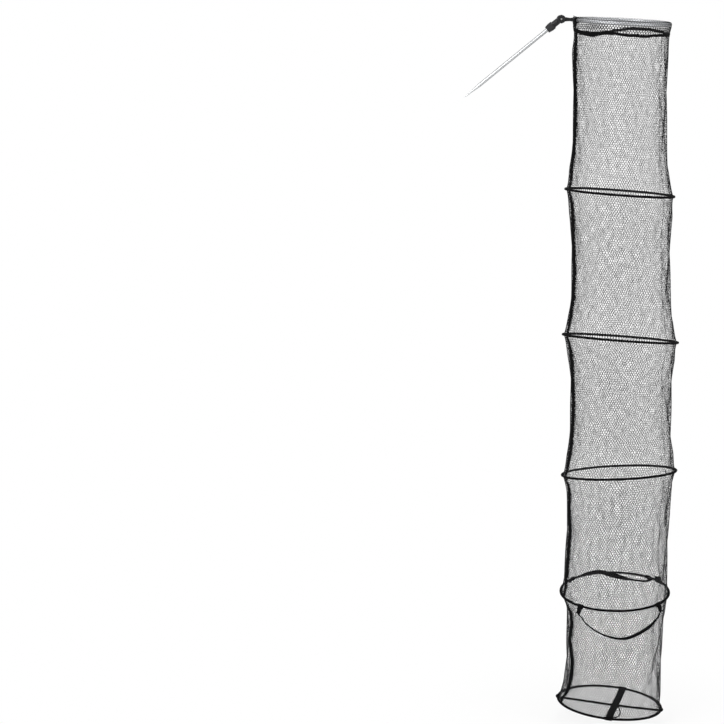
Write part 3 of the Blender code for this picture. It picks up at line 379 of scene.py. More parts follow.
class Span:
    """The netting between two rings, with folds that grow away from them and a corner along the side tape."""

    def __init__(self, top, bottom, radii, pulls, wander, seed):
        self.top, self.bottom, self.radii = np.array(top), np.array(bottom), radii
        self.pulls, self.wander = pulls, smooth_table(wander, WANDER_STEPS)
        self.length = float(np.linalg.norm(self.top[:3, 3] - self.bottom[:3, 3]))
        noise = default_rng(seed)
        self.phases = noise.uniform(0, tau, len(FOLD_COUNTS))
        self.waves = [self.wave(noise) for _ in range(2 * WARP_COUNT)]

    def wave(self, noise):
        """One wave of the pulled netting: turns round the net, waves down it, size and phase."""
        reach = noise.uniform(*WARP_LENGTHS)
        heading = noise.uniform(0, pi)
        turns = round(tau / reach * cos(heading) * self.radii[2])
        return turns, tau / reach * sin(heading), reach * WARP_SHARE, noise.uniform(0, tau)

    def tape_azimuth(self, t):
        """Azimuths of the side tape's middle, which wanders a little round the net."""
        shares = np.linspace(0, 1, WANDER_STEPS + 1)
        return TAPE_AZIMUTH + np.radians(np.interp(t, shares, self.wander))

    def around(self, t):
        top, bottom, waist = self.radii
        end = np.where(2 * t < 1, top, bottom)
        return waist + (end - waist) * np.abs(2 * t - 1) ** 3

    def steps(self, start, end):
        """Even places for a strip or a seam on one length of the netting."""
        return np.linspace(start, end, max(12, int((end - start) * self.length / BUNCH_STEP)))

    def fold(self, angle, t):
        grown = np.clip(np.minimum(t, 1 - t) / FOLD_RISE_SHARE, 0, 1)
        grown = grown * grown * (3 - 2 * grown)
        lobes = 0 * angle
        for count, depth, slip, phase in zip(FOLD_COUNTS, FOLD_DEPTHS, FOLD_DRIFTS, self.phases):
            lobes = lobes + depth * np.cos(count * angle + phase + slip * tau * t)
        beside = around_difference(angle, self.tape_azimuth(t)) * self.around(t)
        near = np.exp(-((beside / CORNER_REACH) ** 2))
        share = beside / CORNER_TURN
        corner = -CORNER_DEPTH * share * np.exp((1 - share * share) / 2)
        left, right = (np.exp(-((around_difference(angle, a) / PULL_REACH) ** 2)) for a in (TAPE_AZIMUTH, 0))
        return grown * (lobes * (1 - near) + corner + self.pulls[0] * left + self.pulls[1] * right)

    def drawn(self, angle):
        """Columns of netting drawn in towards the tape and the seams."""
        found = angle
        for seam, share, reach in GATHERED:
            off = around_difference(angle, seam)
            found = found - share * off * np.exp(-((off / reach) ** 2))
        return found

    def warped(self, angle, t):
        """How far the netting is pulled out of true, sideways and down, in metres."""
        down = t * self.length
        found = [size * np.sin(n * angle + rise * down + phase) for n, rise, size, phase in self.waves]
        held = np.clip(np.minimum(t, 1 - t) / WARP_RISE_SHARE, 0, 1)
        return held * sum(found[:WARP_COUNT]), held * sum(found[WARP_COUNT:])

    def place(self, angle, t, lift=0):
        reach = self.around(t) + self.fold(angle, t) + lift
        flat = np.stack([reach * np.cos(angle), reach * np.sin(angle), 0 * reach, 1 + 0 * reach], -1)
        high, low = flat @ self.top.T, flat @ self.bottom.T
        return (high + (low - high) * (np.asarray(t) + 0 * reach)[..., None])[..., :3]


class Profile:
    """A surface of revolution about a ring's axis, given as a path of (radius, height)."""

    STEP = 0.002

    def __init__(self, matrix, path):
        self.matrix, self.path = np.array(matrix), np.array(path, float)
        run = run_along(self.path)
        self.run, self.length = run / run[-1], float(run[-1])

    def at(self, t):
        return np.interp(t, self.run, self.path[:, 0]), np.interp(t, self.run, self.path[:, 1])

    def around(self, t):
        return self.at(t)[0]

    def drawn(self, angle):
        return angle

    def warped(self, angle, t):
        return 0 * angle, 0 * t

    def place(self, angle, t, lift=0):
        r, z = self.at(t)
        ahead, behind = self.at(np.clip(t + self.STEP, 0, 1)), self.at(np.clip(t - self.STEP, 0, 1))
        dr, dz = ahead[0] - behind[0], ahead[1] - behind[1]
        size = np.maximum(np.hypot(dr, dz), 1e-9)
        r = r + lift * dz / size + 0 * angle
        z = z - lift * dr / size + 0 * angle
        flat = np.stack([r * np.cos(angle), r * np.sin(angle), z, 1 + 0 * r], -1)
        return (flat @ self.matrix.T)[..., :3]


class Sheet:
    """A flat square of netting, as wide as a ring, that dips a little between its edges."""

    WARP = 0.0012
    DIP = 0.0004

    def __init__(self, matrix, reach, height):
        self.matrix, self.reach, self.height = np.array(matrix), reach, height
        self.length = 2 * reach

    def around(self, t):
        return self.reach / pi + 0 * np.asarray(t)

    def drawn(self, angle):
        return angle

    def warped(self, angle, t):
        return self.WARP * np.sin(3 * angle + 19 * t), self.WARP * np.sin(5 * angle - 23 * t)

    def flat(self, angle, t):
        return (angle - pi) * self.reach / pi, self.reach * (1 - 2 * t)

    def place(self, angle, t, lift=0):
        x, y = self.flat(angle, t)
        z = self.height + lift + self.DIP * np.sin(x * 61) * np.cos(y * 47)
        flat = np.stack([x, y + 0 * x, z, 1 + 0 * z], -1)
        return (flat @ self.matrix.T)[..., :3]


def lattice(surface, start, end, columns, seed, keep=None, first=0, share=1.0, spacing=CHAIN_SPACING):
    """Points and faces of hexagonal netting over a surface from one share of its length to another."""
    length = surface.length
    upright, slant = UPRIGHT_WIDTH * share, SLANT_WIDTH * share
    chains = max(1, round((end - start) * length / spacing))
    noise = default_rng(seed)
    row, column = np.arange(-1, chains + 1)[:, None], np.arange(2 * columns)[None, :]
    up = np.where((row + column + first) % 2 == 0, 1.0, -1.0)
    wander = noise.normal(0, CELL_JITTER, (2,) + up.shape)
    t = start + (row + 0.5) * (end - start) / chains + (wander[0] - up * CHAIN_RISE / 2) / length
    angle = surface.drawn(column * pi / columns) + 0 * t
    radius = surface.around(t)
    aside, down = surface.warped(angle, t)
    angle = angle + (wander[1] + aside) / radius
    t = np.clip(t + down / length, start, end)
    slope = np.arctan2(CHAIN_RISE, radius * pi / columns)
    stem, fork = (slant / 2 - upright / 2 * np.sin(slope)) / np.cos(slope), slant / 2 / np.cos(slope)
    depth = STRAND_DEPTH * min(share, 1)
    corners = ((-upright / 2, up * stem, 0), (upright / 2, up * stem, 0), (0, -up * fork, 0), (0, 0, depth))
    points = []
    for x, y, lift in corners:
        points.append(surface.place(angle + x / radius, np.clip(t - y / length, 0, 1), lift + 0 * t))
    alive = np.ones(up.shape, bool) if keep is None else keep(angle, t)
    return np.stack(points, 2).reshape(-1, 3), strand_faces(up, alive)


def strand_faces(up, alive):
    """Faces between the four points of each node of hexagonal netting."""
    base = np.arange(up.size).reshape(up.shape) * 4
    here, there = base[1:-1], np.roll(base, -1, 1)[1:-1]
    whole = alive[1:-1] & np.roll(alive, -1, 1)[1:-1]
    rises = up[1:-1] > 0
    a, b, c, d = 0, 1, 2, 3
    slants = np.stack(
        [
            np.stack([here + b, there + c, there + a, here + c], -1),
            np.stack([here + b, here + d, there + d, there + c], -1),
            np.stack([here + d, here + c, there + a, there + d], -1),
        ]
    )
    quads = [slants[:, whole & rises].reshape(-1, 4), slants[:, whole & ~rises].reshape(-1, 4)[:, ::-1]]
    stems = (up[:-1] < 0) & alive[:-1] & alive[1:]
    high, low = base[:-1][stems], base[1:][stems]
    quads += [
        np.stack([high + a, high + b, low + b, low + a], -1),
        np.stack([high + a, low + a, low + d, high + d], -1),
        np.stack([high + d, low + d, low + b, high + b], -1),
    ]
    knots = np.stack([here + a, here + b, here + c], -1)
    live = alive[1:-1]
    tris = [knots[live & rises], knots[live & ~rises][:, ::-1]]
    return [np.concatenate(quads), np.concatenate(tris)]


def strip_on(surface, angle, t, width, thickness, lift, across=4):
    """A strip of webbing that lies on a surface, along the places given by angle and t."""
    u = np.linspace(-1, 1, across + 1)
    u = np.concatenate([u, u[::-1]])
    high = np.concatenate([np.ones(across + 1), np.zeros(across + 1)])
    count = len(angle)
    lift = np.broadcast_to(lift, count)[:, None] + thickness * high[None, :]
    radius = surface.around(t)[:, None]
    side = np.broadcast_to(width, count)[:, None] / 2 * u[None, :]
    points = surface.place(angle[:, None] + side / radius, t[:, None] + 0 * side, lift)
    run = run_along(points.mean(1))
    along = np.stack([run[:, None] + 0 * side, side, 0 * side], -1)
    faces = [grid_faces(count, len(u), False, True, True)] + end_caps(count, len(u))
    return points.reshape(-1, 3), faces, along.reshape(-1, 3)


def bunch_on(surface, azimuth, t, strands, spread, seed, lift=0.0):
    """Netting bunched into a seam: a few strands that wander about a line on a surface."""
    noise = default_rng(seed)
    count = len(t)
    parts = []
    for _ in range(strands):
        angle = azimuth + drift(noise, count, 4) * spread / surface.around(t)
        out = lift + np.abs(drift(noise, count, 3)) * BUNCH_WIDTH / 2
        width = BUNCH_WIDTH * (1 + 0.4 * np.abs(drift(noise, count, 2)))
        path = surface.place(angle, t, out)
        outer = surface.place(angle, t, out + SLEEVE_RADIUS)
        parts.append(swept(path, outer - path, width, width * 0.8, False, 5))
    return joined(parts)


# Materials

TWIST_DEPTH = 0.0004
RIB_DEPTH = 0.0005
GRAIN_DEPTH = 0.0002
MARK_DEPTH = 0.00005
TAPE_RIB = 0.0016
SLEEVE_RIB = 0.0011
STRAP_RIB = 0.0021
HANDLE_RIB = 0.0018
CORD_TWIST = 0.0012
WAVE_RADIANS = 20


def wire(tree, socket, value):
    """Feeds a socket with a constant, an output, or the first output of a node."""
    if isinstance(value, bpy.types.Node):
        value = value.outputs[0]
    if isinstance(value, bpy.types.NodeSocket):
        tree.links.new(value, socket)
    else:
        socket.default_value = value


def add(tree, kind, *feeds, **values):
    """A shader node. feeds go to its inputs in order, values to inputs or settings by name."""
    node = tree.nodes.new("ShaderNode" + kind)
    for key, value in values.items():
        if key in node.inputs:
            wire(tree, node.inputs[key], value)
        else:
            setattr(node, key, value)
    for socket, value in zip(node.inputs, feeds):
        wire(tree, socket, value)
    return node


def node_material(name, colour, roughness, metallic=0.0, specular=0.5):
    mat = bpy.data.materials.new(name)
    mat.use_nodes = True
    shader = mat.node_tree.nodes["Principled BSDF"]
    names = ("Base Color", "Roughness", "Metallic", "Specular IOR Level")
    for name, value in zip(names, ((*colour, 1), roughness, metallic, specular)):
        shader.inputs[name].default_value = value
    mat.diffuse_color = (*colour, 1)
    return mat, mat.node_tree, shader


def coloured(tree, shader, source, dark, light, low=0.0, high=1.0):
    """Colour that goes from dark to light as the source goes from low to high."""
    ramp = add(tree, "ValToRGB", source)
    for stop, position, colour in zip(ramp.color_ramp.elements, (low, high), (dark, light)):
        stop.position = position
        stop.color = (*colour, 1)
    wire(tree, shader.inputs["Base Color"], ramp)


def mottled(tree, shader, vector, scale, dark, light, detail=4.0):
    """Colour that drifts between two tones."""
    noise = add(tree, "TexNoise", vector, Scale=scale, Detail=detail)
    coloured(tree, shader, noise, dark, light, 0.3, 0.7)
    return noise


def bumped(tree, shader, height, strength, distance):
    bump = add(tree, "Bump", Height=height, Strength=strength, Distance=distance)
    wire(tree, shader.inputs["Normal"], bump)


def roughened(tree, shader, source, low, high):
    spread = add(tree, "MapRange", source, **{"To Min": low, "To Max": high})
    wire(tree, shader.inputs["Roughness"], spread)


def twine_material(name, dark, light):
    mat, tree, shader = node_material(name, light, 0.7, 0.0, 0.25)
    place = add(tree, "TexCoord").outputs["Object"]
    mottled(tree, shader, place, 9.0, dark, light)
    twist = add(tree, "TexWave", place, Scale=160.0, Distortion=3.0, bands_direction="DIAGONAL")
    roughened(tree, shader, twist.outputs["Fac"], 0.6, 0.85)
    bumped(tree, shader, twist.outputs["Fac"], 0.4, TWIST_DEPTH)
    return mat


def ribs_in(tree, place, pitch, **values):
    """Waves along the weave, one to each pitch. The node's waves have WAVE_RADIANS in a metre."""
    scale = tau / WAVE_RADIANS / pitch
    return add(tree, "TexWave", place, Scale=scale, **values).outputs["Fac"]


def woven_material(name, dark, light, pitch, roughness=0.8):
    """Ribbed webbing: ribs run across the strip, by the weave coordinates of the mesh."""
    mat, tree, shader = node_material(name, light, roughness, 0.0, 0.06)
    place = add(tree, "Attribute", attribute_name="weave").outputs["Vector"]
    ribs = ribs_in(tree, place, pitch, Distortion=0.6, Detail=2.0, **{"Detail Scale": 3.0})
    cross = ribs_in(tree, place, pitch * 1.4, Distortion=0.4, bands_direction="Y")
    mixed = add(tree, "Math", ribs, 0.6, cross, operation="MULTIPLY_ADD")
    woven = add(tree, "MapRange", mixed, **{"From Max": 1.6})
    coloured(tree, shader, woven, dark, light)
    roughened(tree, shader, woven, roughness + 0.1, roughness - 0.1)
    bumped(tree, shader, woven, 0.6, RIB_DEPTH)
    return mat


def moulded_material(name, dark, light, roughness):
    mat, tree, shader = node_material(name, light, roughness, 0.0, 0.4)
    place = add(tree, "TexCoord").outputs["Object"]
    tones = mottled(tree, shader, place, 60.0, dark, light)
    roughened(tree, shader, tones, roughness - 0.08, roughness + 0.1)
    fine = add(tree, "TexNoise", place, Scale=900.0, Detail=3.0)
    bumped(tree, shader, fine, 0.25, GRAIN_DEPTH)
    return mat


def metal_material(name, dark, light, roughness, turn=(0, 0, 0), stretch=(1, 1, 1), grain=160.0, detail=6.0):
    """Drawn metal: fine marks, drawn out along one axis of a turned frame."""
    mat, tree, shader = node_material(name, light, roughness, 1.0)
    place = add(tree, "TexCoord").outputs["Object"]
    lay = add(tree, "Mapping", place, vector_type="TEXTURE", Rotation=turn, Scale=stretch)
    marks = mottled(tree, shader, lay, grain, dark, light, detail)
    roughened(tree, shader, marks, roughness - 0.04, roughness + 0.08)
    bumped(tree, shader, marks, 0.08, MARK_DEPTH)
    return mat


BLACKS = ((0.0015, 0.0015, 0.0018), (0.0055, 0.0055, 0.006))
TWINE = twine_material("netting_twine", (0.01, 0.01, 0.011), (0.022, 0.022, 0.024))
FLOOR_TWINE = twine_material("floor_twine", (0.012, 0.012, 0.013), (0.026, 0.026, 0.028))
BUNCHED = twine_material("bunched_netting", (0.007, 0.007, 0.008), (0.018, 0.018, 0.02))
TAPE = woven_material("black_tape", *BLACKS, TAPE_RIB)
SLEEVE = woven_material("sleeve_cloth", *BLACKS, SLEEVE_RIB)
STRAP = woven_material("strap_webbing", (0.0015, 0.0015, 0.0018), (0.006, 0.006, 0.0065), STRAP_RIB)
HANDLE = woven_material("handle_webbing", *BLACKS, HANDLE_RIB)
LASHING = woven_material("lashing_cord", *BLACKS, CORD_TWIST)
ROD = moulded_material("hoop_plastic", (0.008, 0.008, 0.009), (0.02, 0.02, 0.022), 0.45)
PLASTIC = moulded_material("hinge_plastic", (0.01, 0.01, 0.011), (0.022, 0.022, 0.024), 0.44)
KNOB = moulded_material("knob_plastic", (0.007, 0.007, 0.008), (0.016, 0.016, 0.018), 0.38)
POLE_LAY = ((0, -POLE_ANGLE, 0), (60, 1, 1), 24.0, 2.0)
ALUMINIUM = metal_material("pole_aluminium", (0.56, 0.57, 0.58), (0.62, 0.63, 0.64), 0.34, *POLE_LAY)
RIM_METAL = metal_material("rim_aluminium", (0.58, 0.59, 0.61), (0.68, 0.69, 0.71), 0.5)
STEEL = metal_material("bolt_steel", (0.45, 0.45, 0.46), (0.72, 0.72, 0.7), 0.24)
DARK_STEEL = metal_material("ring_steel", (0.008, 0.008, 0.009), (0.02, 0.02, 0.022), 0.34)
BRASS = metal_material("insert_brass", (0.48, 0.36, 0.15), (0.66, 0.52, 0.25), 0.3)


# Netting and what is sewn to it


def make_span(i):
    above = HOOP_FRAMES[i - 1] if i else COLLAR_FRAME
    top_radius = net_radius_at(i - 1) if i else COLLAR_NET_RADIUS
    radii = (top_radius, net_radius_at(i), WAIST_RADII[i])
    return Span(above, HOOP_FRAMES[i], radii, SIDE_PULLS[i], TAPE_WANDER[i], 2 + i)


SPANS = [make_span(i) for i in range(len(HOOP_FRAMES))]
SPLIT = NECK_LENGTH / SPANS[0].length
JOINTS = {joint["name"]: joint for joint in frame["joints"]}
ALL_ROUND = full_turn(24)
TAPE_LIFT = STRAND_DEPTH + GAP
TAPE_STRAY = 0.0004
TAPE_TOP_SHARES = (0.16, 0.42)
SEAM_SPREAD = 0.0009
SEAM_ENDS = (0.004, 0.996)
SEAM_STRANDS = (1, 1, 2)
SEAM_NAMES = ("seam_front", "seam_rear", "seam_tape")


def settle(obj, i, azimuths, slot, *nodes):
    """A piece of section i rides on the hoop above it."""
    shares = (SPLIT if i == 0 else 0.0, 1.0)
    top, bottom = (SPANS[i].place(azimuths, share + 0 * azimuths).mean(0) for share in shares)
    lift = JOINTS[LIFTS[i]]
    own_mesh(obj)
    put(obj, lift["parent"], slot, *nodes)


def bend(obj, slot, *nodes):
    """A piece of the neck, between the rim above it and the hanging net below it, baked in place and left on
    no body.
    """
    share = np.array([SPLIT])
    low = SPANS[0].place(0 * share, share, -SPANS[0].around(share))[0]
    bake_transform(obj)
    put(obj, None, slot, *nodes)


def make_netting():
    for i, span in enumerate(SPANS):
        share = TWINE_SHARES[i]
        start, end = GAP / span.length, 1 - GAP / span.length
        chains = 0
        if i == 0:
            neck = piece("netting_neck", TWINE, *lattice(span, start, SPLIT, COLUMNS, 11, share=share))
            bend(neck, "netting", "net_neck")
            chains = max(1, round((SPLIT - start) * span.length / CHAIN_SPACING))
            start = SPLIT
        found = lattice(span, start, end, COLUMNS, 12 + i, first=chains, share=share)
        obj = piece(f"netting_section_{i + 1}", TWINE, *found)
        settle(obj, i, ALL_ROUND, "netting", f"net_section_{i + 1}")


def tape_on(i, start, end, seed):
    """The side tape on one length of a section."""
    span = SPANS[i]
    t = span.steps(start, end)
    count = len(t)
    noise = default_rng(seed)
    lift = TAPE_LIFT + TAPE_STRAY * np.abs(drift(noise, count, 3))
    width = TAPE_WIDTH * (1 - 0.05 * np.abs(drift(noise, count, 4)))
    return strip_on(span, span.tape_azimuth(t), t, width, TAPE_THICKNESS, lift)


def make_tapes():
    for i, span in enumerate(SPANS):
        clear = (SLEEVE_RADIUS + GAP) / span.length
        start = clear
        if i == 0:
            start = SPLIT
            found = tape_on(0, (COLLAR_HEIGHT / 2 + GAP) / span.length, SPLIT, 21)
            bend(piece("tape_neck", TAPE, *found), "webbing", "side_tape_neck")
        obj = piece(f"tape_{i + 1}", TAPE, *tape_on(i, start, 1 - clear, 22 + i))
        settle(obj, i, np.array([TAPE_AZIMUTH]), "webbing", f"side_tape_{i + 1}")


def seam_line(i, k, t):
    """Azimuths of a gathered seam. The last one runs beside the side tape."""
    if k < len(SEAM_AZIMUTHS):
        return SEAM_AZIMUTHS[k] + 0 * t
    return SPANS[i].tape_azimuth(t) + TAPE_WIDTH / 2 / SPANS[i].around(t)


def seam_on(i, k, start, end, seed):
    """Netting bunched into one seam, on one length of a section."""
    t = SPANS[i].steps(start, end)
    return bunch_on(SPANS[i], seam_line(i, k, t), t, SEAM_STRANDS[k], SEAM_SPREAD, seed)


def make_seams():
    azimuths = (*SEAM_AZIMUTHS, TAPE_AZIMUTH)
    for k, name in enumerate(SEAM_NAMES):
        for i in range(len(SPANS)):
            start, end = SEAM_ENDS
            if i == 0:
                bend(piece(name + "_neck", BUNCHED, *seam_on(0, k, start, SPLIT, 60 + k)), "netting")
                start = SPLIT
            obj = piece(f"{name}_{i + 1}", BUNCHED, *seam_on(i, k, start, end, 70 + 10 * i + k))
            settle(obj, i, np.array([azimuths[k]]), "netting")


# Hoops

HOOP_STEPS = 168
SLEEVE_SIDES = 14
SLEEVE_GATHER = 0.00025


def make_hoops():
    turn = full_turn(HOOP_STEPS)
    for i, (name, body) in enumerate(zip(HOOP_NAMES, HOOP_BODIES)):
        ring = compass(turn)
        size = 2 * SEEN_ROD_RADIUS
        found = bar(HOOP_FRAMES[i], ring * HOOP_DIAMETERS[i] / 2, ring, size, size, True, 10)
        put(piece(name + "_rod", ROD, *found[:2]), body, "hoop_rod", name)
        cloth = sleeve_cloth(HOOP_FRAMES[i], HOOP_DIAMETERS[i], turn, 40 + i)
        put(piece(name + "_cloth", SLEEVE, *cloth), body, "sleeve", name + "_sleeve")


def cloth_round(matrix, turn, rows, reach, across, flip=False):
    """Cloth round a ring, with the weave coordinates of its length at a reach and of its width."""
    across = across + 0 * rows[..., 2]
    along = np.stack([(turn * reach)[:, None] + 0 * across, across, 0 * across], -1)
    faces = [grid_faces(len(turn), rows.shape[1], True, True, flip)]
    return moved(matrix, rows.reshape(-1, 3)), faces, along.reshape(-1, 3)


def sleeve_cloth(matrix, diameter, turn, seed):
    """Cloth sewn round a hoop, slightly gathered, open along a slit that faces the axis of the net."""
    noise = default_rng(seed)
    first = -pi + SLEEVE_SLIT / 2
    around = first + (tau - SLEEVE_SLIT) * np.arange(SLEEVE_SIDES + 1) / SLEEVE_SIDES
    gather = noise.normal(0, 1, (len(turn), SLEEVE_SIDES + 1))
    gather = (gather + np.roll(gather, 1, 0) + np.roll(gather, -1, 0)) / 3
    outer = SEEN_SLEEVE_RADIUS + SLEEVE_GATHER * gather
    rows = []
    for reach, bends in ((outer, around), ((outer - SLEEVE_THICKNESS)[:, ::-1], around[::-1])):
        r = diameter / 2 + reach * np.cos(bends)
        rows.append(round_axis(r, turn[:, None], reach * np.sin(bends)))
    across = np.concatenate([around, around[::-1]]) * SLEEVE_RADIUS
    return cloth_round(matrix, turn, np.concatenate(rows, 1), diameter / 2, across, True)


# Rim and collar

FOLD_LIFT = 0.0004
RIM_FOLD = RIM_TUBE_RADIUS + FOLD_LIFT
FOLD_TURNS = (-0.25, pi + 0.9)
FOLD_FOOT = -0.01
FOLD_SHARE = 0.9
RIM_SWAY = radians(2.1)
SEEN_RIM = RIM_FRAME @ spin(RIM_SWAY, "X")
SKIRT_SHARE = 0.45
CROSSBAR_CLEAR = 0.002
RIM_BUNCH_SHARES = (0.05, 0.62)
RIM_BUNCH_SPREAD = 0.0035
RIM_BUNCH_LIFT = 0.0006


def clear_of_crossbar(angle, t):
    off = np.abs(around_difference(angle + 0 * t, pi))
    return ~((off < (CROSSBAR_LENGTH / 2 + CROSSBAR_CLEAR) / RIM_RADIUS) & (t > SKIRT_SHARE))


def make_rim():
    start = CROSSBAR_LENGTH / 2 / RIM_RADIUS - RIM_TUBE_SEAT / RIM_RADIUS
    ring = compass(np.linspace(-pi + start, pi - start, 192))
    size = 2 * RIM_TUBE_RADIUS
    found = bar(SEEN_RIM, ring * RIM_RADIUS, ring, size, size, False, 20)
    put(piece("rim_ring", RIM_METAL, *found[:2]), "rim", "rim_tube", "rim_tube")
    down = [(COLLAR_NET_RADIUS, -COLLAR_DROP), (RIM_RADIUS + RIM_FOLD * FOLD_SHARE, FOLD_FOOT)]
    turns = np.linspace(*FOLD_TURNS, 16)
    down += [(RIM_RADIUS + RIM_FOLD * cos(a), RIM_FOLD * sin(a)) for a in turns]
    surface = Profile(SEEN_RIM, down)
    lengths = (("rim_net_skirt", 0.0, SKIRT_SHARE, 2.0), ("rim_net_fold", SKIRT_SHARE, 1.0, 1.15))
    for name, start, end, share in lengths:
        found = lattice(surface, start, end, RIM_COLUMNS, 31, clear_of_crossbar, share=share)
        put(piece(name, TWINE, *found), "rim", "netting", "rim_netting")
    t = np.linspace(*RIM_BUNCH_SHARES, 24)
    for side, name in ((1, "front"), (-1, "rear")):
        azimuth = pi + side * (CROSSBAR_LENGTH / 2 + WRAP_LENGTH * 0.7) / RIM_RADIUS
        found = bunch_on(surface, azimuth, t, 5, RIM_BUNCH_SPREAD, 33 + side, RIM_BUNCH_LIFT)
        put(piece("rim_bunch_" + name, BUNCHED, *found[:2]), "rim", "netting")
    t = np.linspace(*TAPE_TOP_SHARES, 16)
    found = strip_on(surface, TAPE_AZIMUTH + 0 * t, t, TAPE_WIDTH, TAPE_THICKNESS, TAPE_LIFT)
    put(piece("tape_top", TAPE, *found), "rim", "webbing")


LASHING_COILS = 6
LASHING_LIFT = 0.0014
LASHING_START = 0.0012
LASHING_STRAYS = ((0.0004, 5), (0.0008, 6))
LASHING_SECTION = (0.0026, 0.002)


def lashing(side, layer):
    """One layer of cord wound round the rim, beside an end of the crossbar."""
    noise = default_rng(90 + 2 * side + layer)
    count = LASHING_COILS * 16 + 1
    share = np.linspace(0, 1, count)
    turn = tau * LASHING_COILS * share
    share = share if layer == 0 else share[::-1]
    strays = [size * drift(noise, count, reach) for size, reach in LASHING_STRAYS]
    reach = RIM_FOLD + LASHING_LIFT + LASHING_LIFT * layer + strays[0]
    away = CROSSBAR_LENGTH / 2 + LASHING_START + share * WRAP_LENGTH + strays[1]
    azimuth = pi + side * away / RIM_RADIUS
    path = round_axis(RIM_RADIUS + reach * np.cos(turn), azimuth, reach * np.sin(turn))
    centre = round_axis(RIM_RADIUS, azimuth, 0 * turn)
    return bar(SEEN_RIM, path, path - centre, *LASHING_SECTION, False, 7)


def make_lashings():
    for side, name in ((1, "front"), (-1, "rear")):
        found = joined([lashing(side, layer) for layer in range(2)])
        put(piece("rim_lashing_" + name, LASHING, *found), "rim", "wrap", "rim_wrap_" + name)


TANGLE_AZIMUTH = radians(191)
TANGLE_SIZE = np.array([0.004, 0.005, 0.0095])
TANGLE_DROP = 0.013
TANGLE_STRANDS = 5
TANGLE_SECTION = (0.0019, 0.0016)


def make_tangle():
    """Loose netting and cord ends that hang in a bunch from the front lashing."""
    centre = np.array(compass(TANGLE_AZIMUTH)) * (RIM_RADIUS + RIM_FOLD * FOLD_SHARE)
    centre[2] -= TANGLE_DROP
    parts = []
    for k in range(TANGLE_STRANDS):
        noise = default_rng(120 + k)
        line = np.stack([drift(noise, 70, 5) for _ in range(3)], -1) * TANGLE_SIZE / 1.3
        parts.append(swept(moved(SEEN_RIM, centre + line), (0, 1.0, 0.2), *TANGLE_SECTION, False, 6))
    put(piece("rim_tangle", BUNCHED, *joined(parts)[:2]), "rim", "netting")


# How far the slack collar rises and dips, at even steps round it from +X, in millimetres
COLLAR_RISE = (0, 3, 8, 9, -2, -12, -11, -2, 2, -3, -8, 2, -2, -3, 1, -1)
COLLAR_STEPS = 480
COLLAR_RIPPLES = ((0.0006, 17, 0), (0.0004, 31, 1))
COLLAR_FRAY = 0.00035
COLLAR_BUNCH_AZIMUTH = radians(212)
SKIRT_LEAN = 0.21
NECK_LEAN = 0.1


def collar_wave(turn):
    table = np.array(COLLAR_RISE * 3) / 1000
    steps = 12 * len(table)
    shares = np.linspace(-1, 2 - 1 / len(COLLAR_RISE), steps + 1)
    wave = np.interp(turn % tau, shares * tau, smooth_table(table, steps))
    for size, count, phase in COLLAR_RIPPLES:
        wave = wave + size * np.sin(count * turn + phase)
    return wave


def make_collar():
    """Tape sewn round the net below the rim, waved and frayed along its edges."""
    turn = full_turn(COLLAR_STEPS)
    noise = default_rng(51)
    wave = collar_wave(turn)
    bunched = 1 + 0.4 * np.exp(-((around_difference(turn, COLLAR_BUNCH_AZIMUTH) / 0.5) ** 2))
    u = np.linspace(-1, 1, 4)
    rows = []
    for lift, across in ((COLLAR_THICKNESS, u), (0, u[::-1])):
        fray = noise.normal(0, COLLAR_FRAY, (COLLAR_STEPS, len(u))) * (np.abs(across) == 1)
        z = wave[:, None] + COLLAR_HEIGHT / 2 * across[None, :] * bunched[:, None] + fray
        r = COLLAR_NET_RADIUS + GAP + lift + SKIRT_LEAN * np.maximum(z, 0) + NECK_LEAN * np.minimum(z, 0)
        rows.append(round_axis(r, turn[:, None], z))
    rows = np.concatenate(rows, 1)
    found = cloth_round(COLLAR_FRAME, turn, rows, COLLAR_NET_RADIUS, rows[..., 2])
    put(piece("collar_band", TAPE, *found), "rim", "webbing", "collar_tape")


# Handles on the fourth hoop

HANDLE_STEPS = 66
HANDLE_THICKNESS = 0.0021
HANDLE_STRAY = 0.0007
HANDLE_BUMP = 0.0028
HANDLE_FRAME = HOOP_FRAMES[3]
HANDLE_HOOP_RADIUS = HOOP_DIAMETERS[3] / 2
FRONT_HANDLE = {
    "first": radians(225),
    "last": radians(315),
    "sag": 0.098,
    "turn_shares": (0, 0.03, 0.11, 0.21, 0.35, 0.52, 0.67, 0.82, 0.93, 0.985, 1),
    "drop_shares": (0.22, 0.32, 0.56, 0.75, 0.92, 1, 0.88, 0.68, 0.46, 0.3, 0.22),
    "out_shares": (1,) * 11,
    "twist": (70, 75, 78, 70, 58, 40, 12, 30, 72, 78, 70),
    "widths": (6, 5, 5, 6, 8, 10, 13, 11, 6, 5, 7),
    "bumps": (0.15, 0.21),
    "tab_width": 0.022,
}
REAR_HANDLE = {
    "first": radians(135),
    "last": radians(45),
    "sag": 0.028,
    "turn_shares": (0, 0.1, 0.22, 0.34, 0.44, 0.54, 0.66, 0.78, 0.89, 0.96, 1),
    "drop_shares": (0.55, 0.32, 0, -0.05, 0.12, 0.5, 0.86, 1, 0.97, 0.82, 0.55),
    "out_shares": (1, 1, 0.95, 0.95, 0.95, 1, 1, 1, 1, 1, 1),
    "twist": (60, 50, 35, 12, 0, 0, 5, 15, 20, 25, 40),
    "widths": (9, 8, 9, 14, 18, 19, 16, 9, 8, 9, 10),
    "bumps": (),
    "tab_width": 0.015,
}


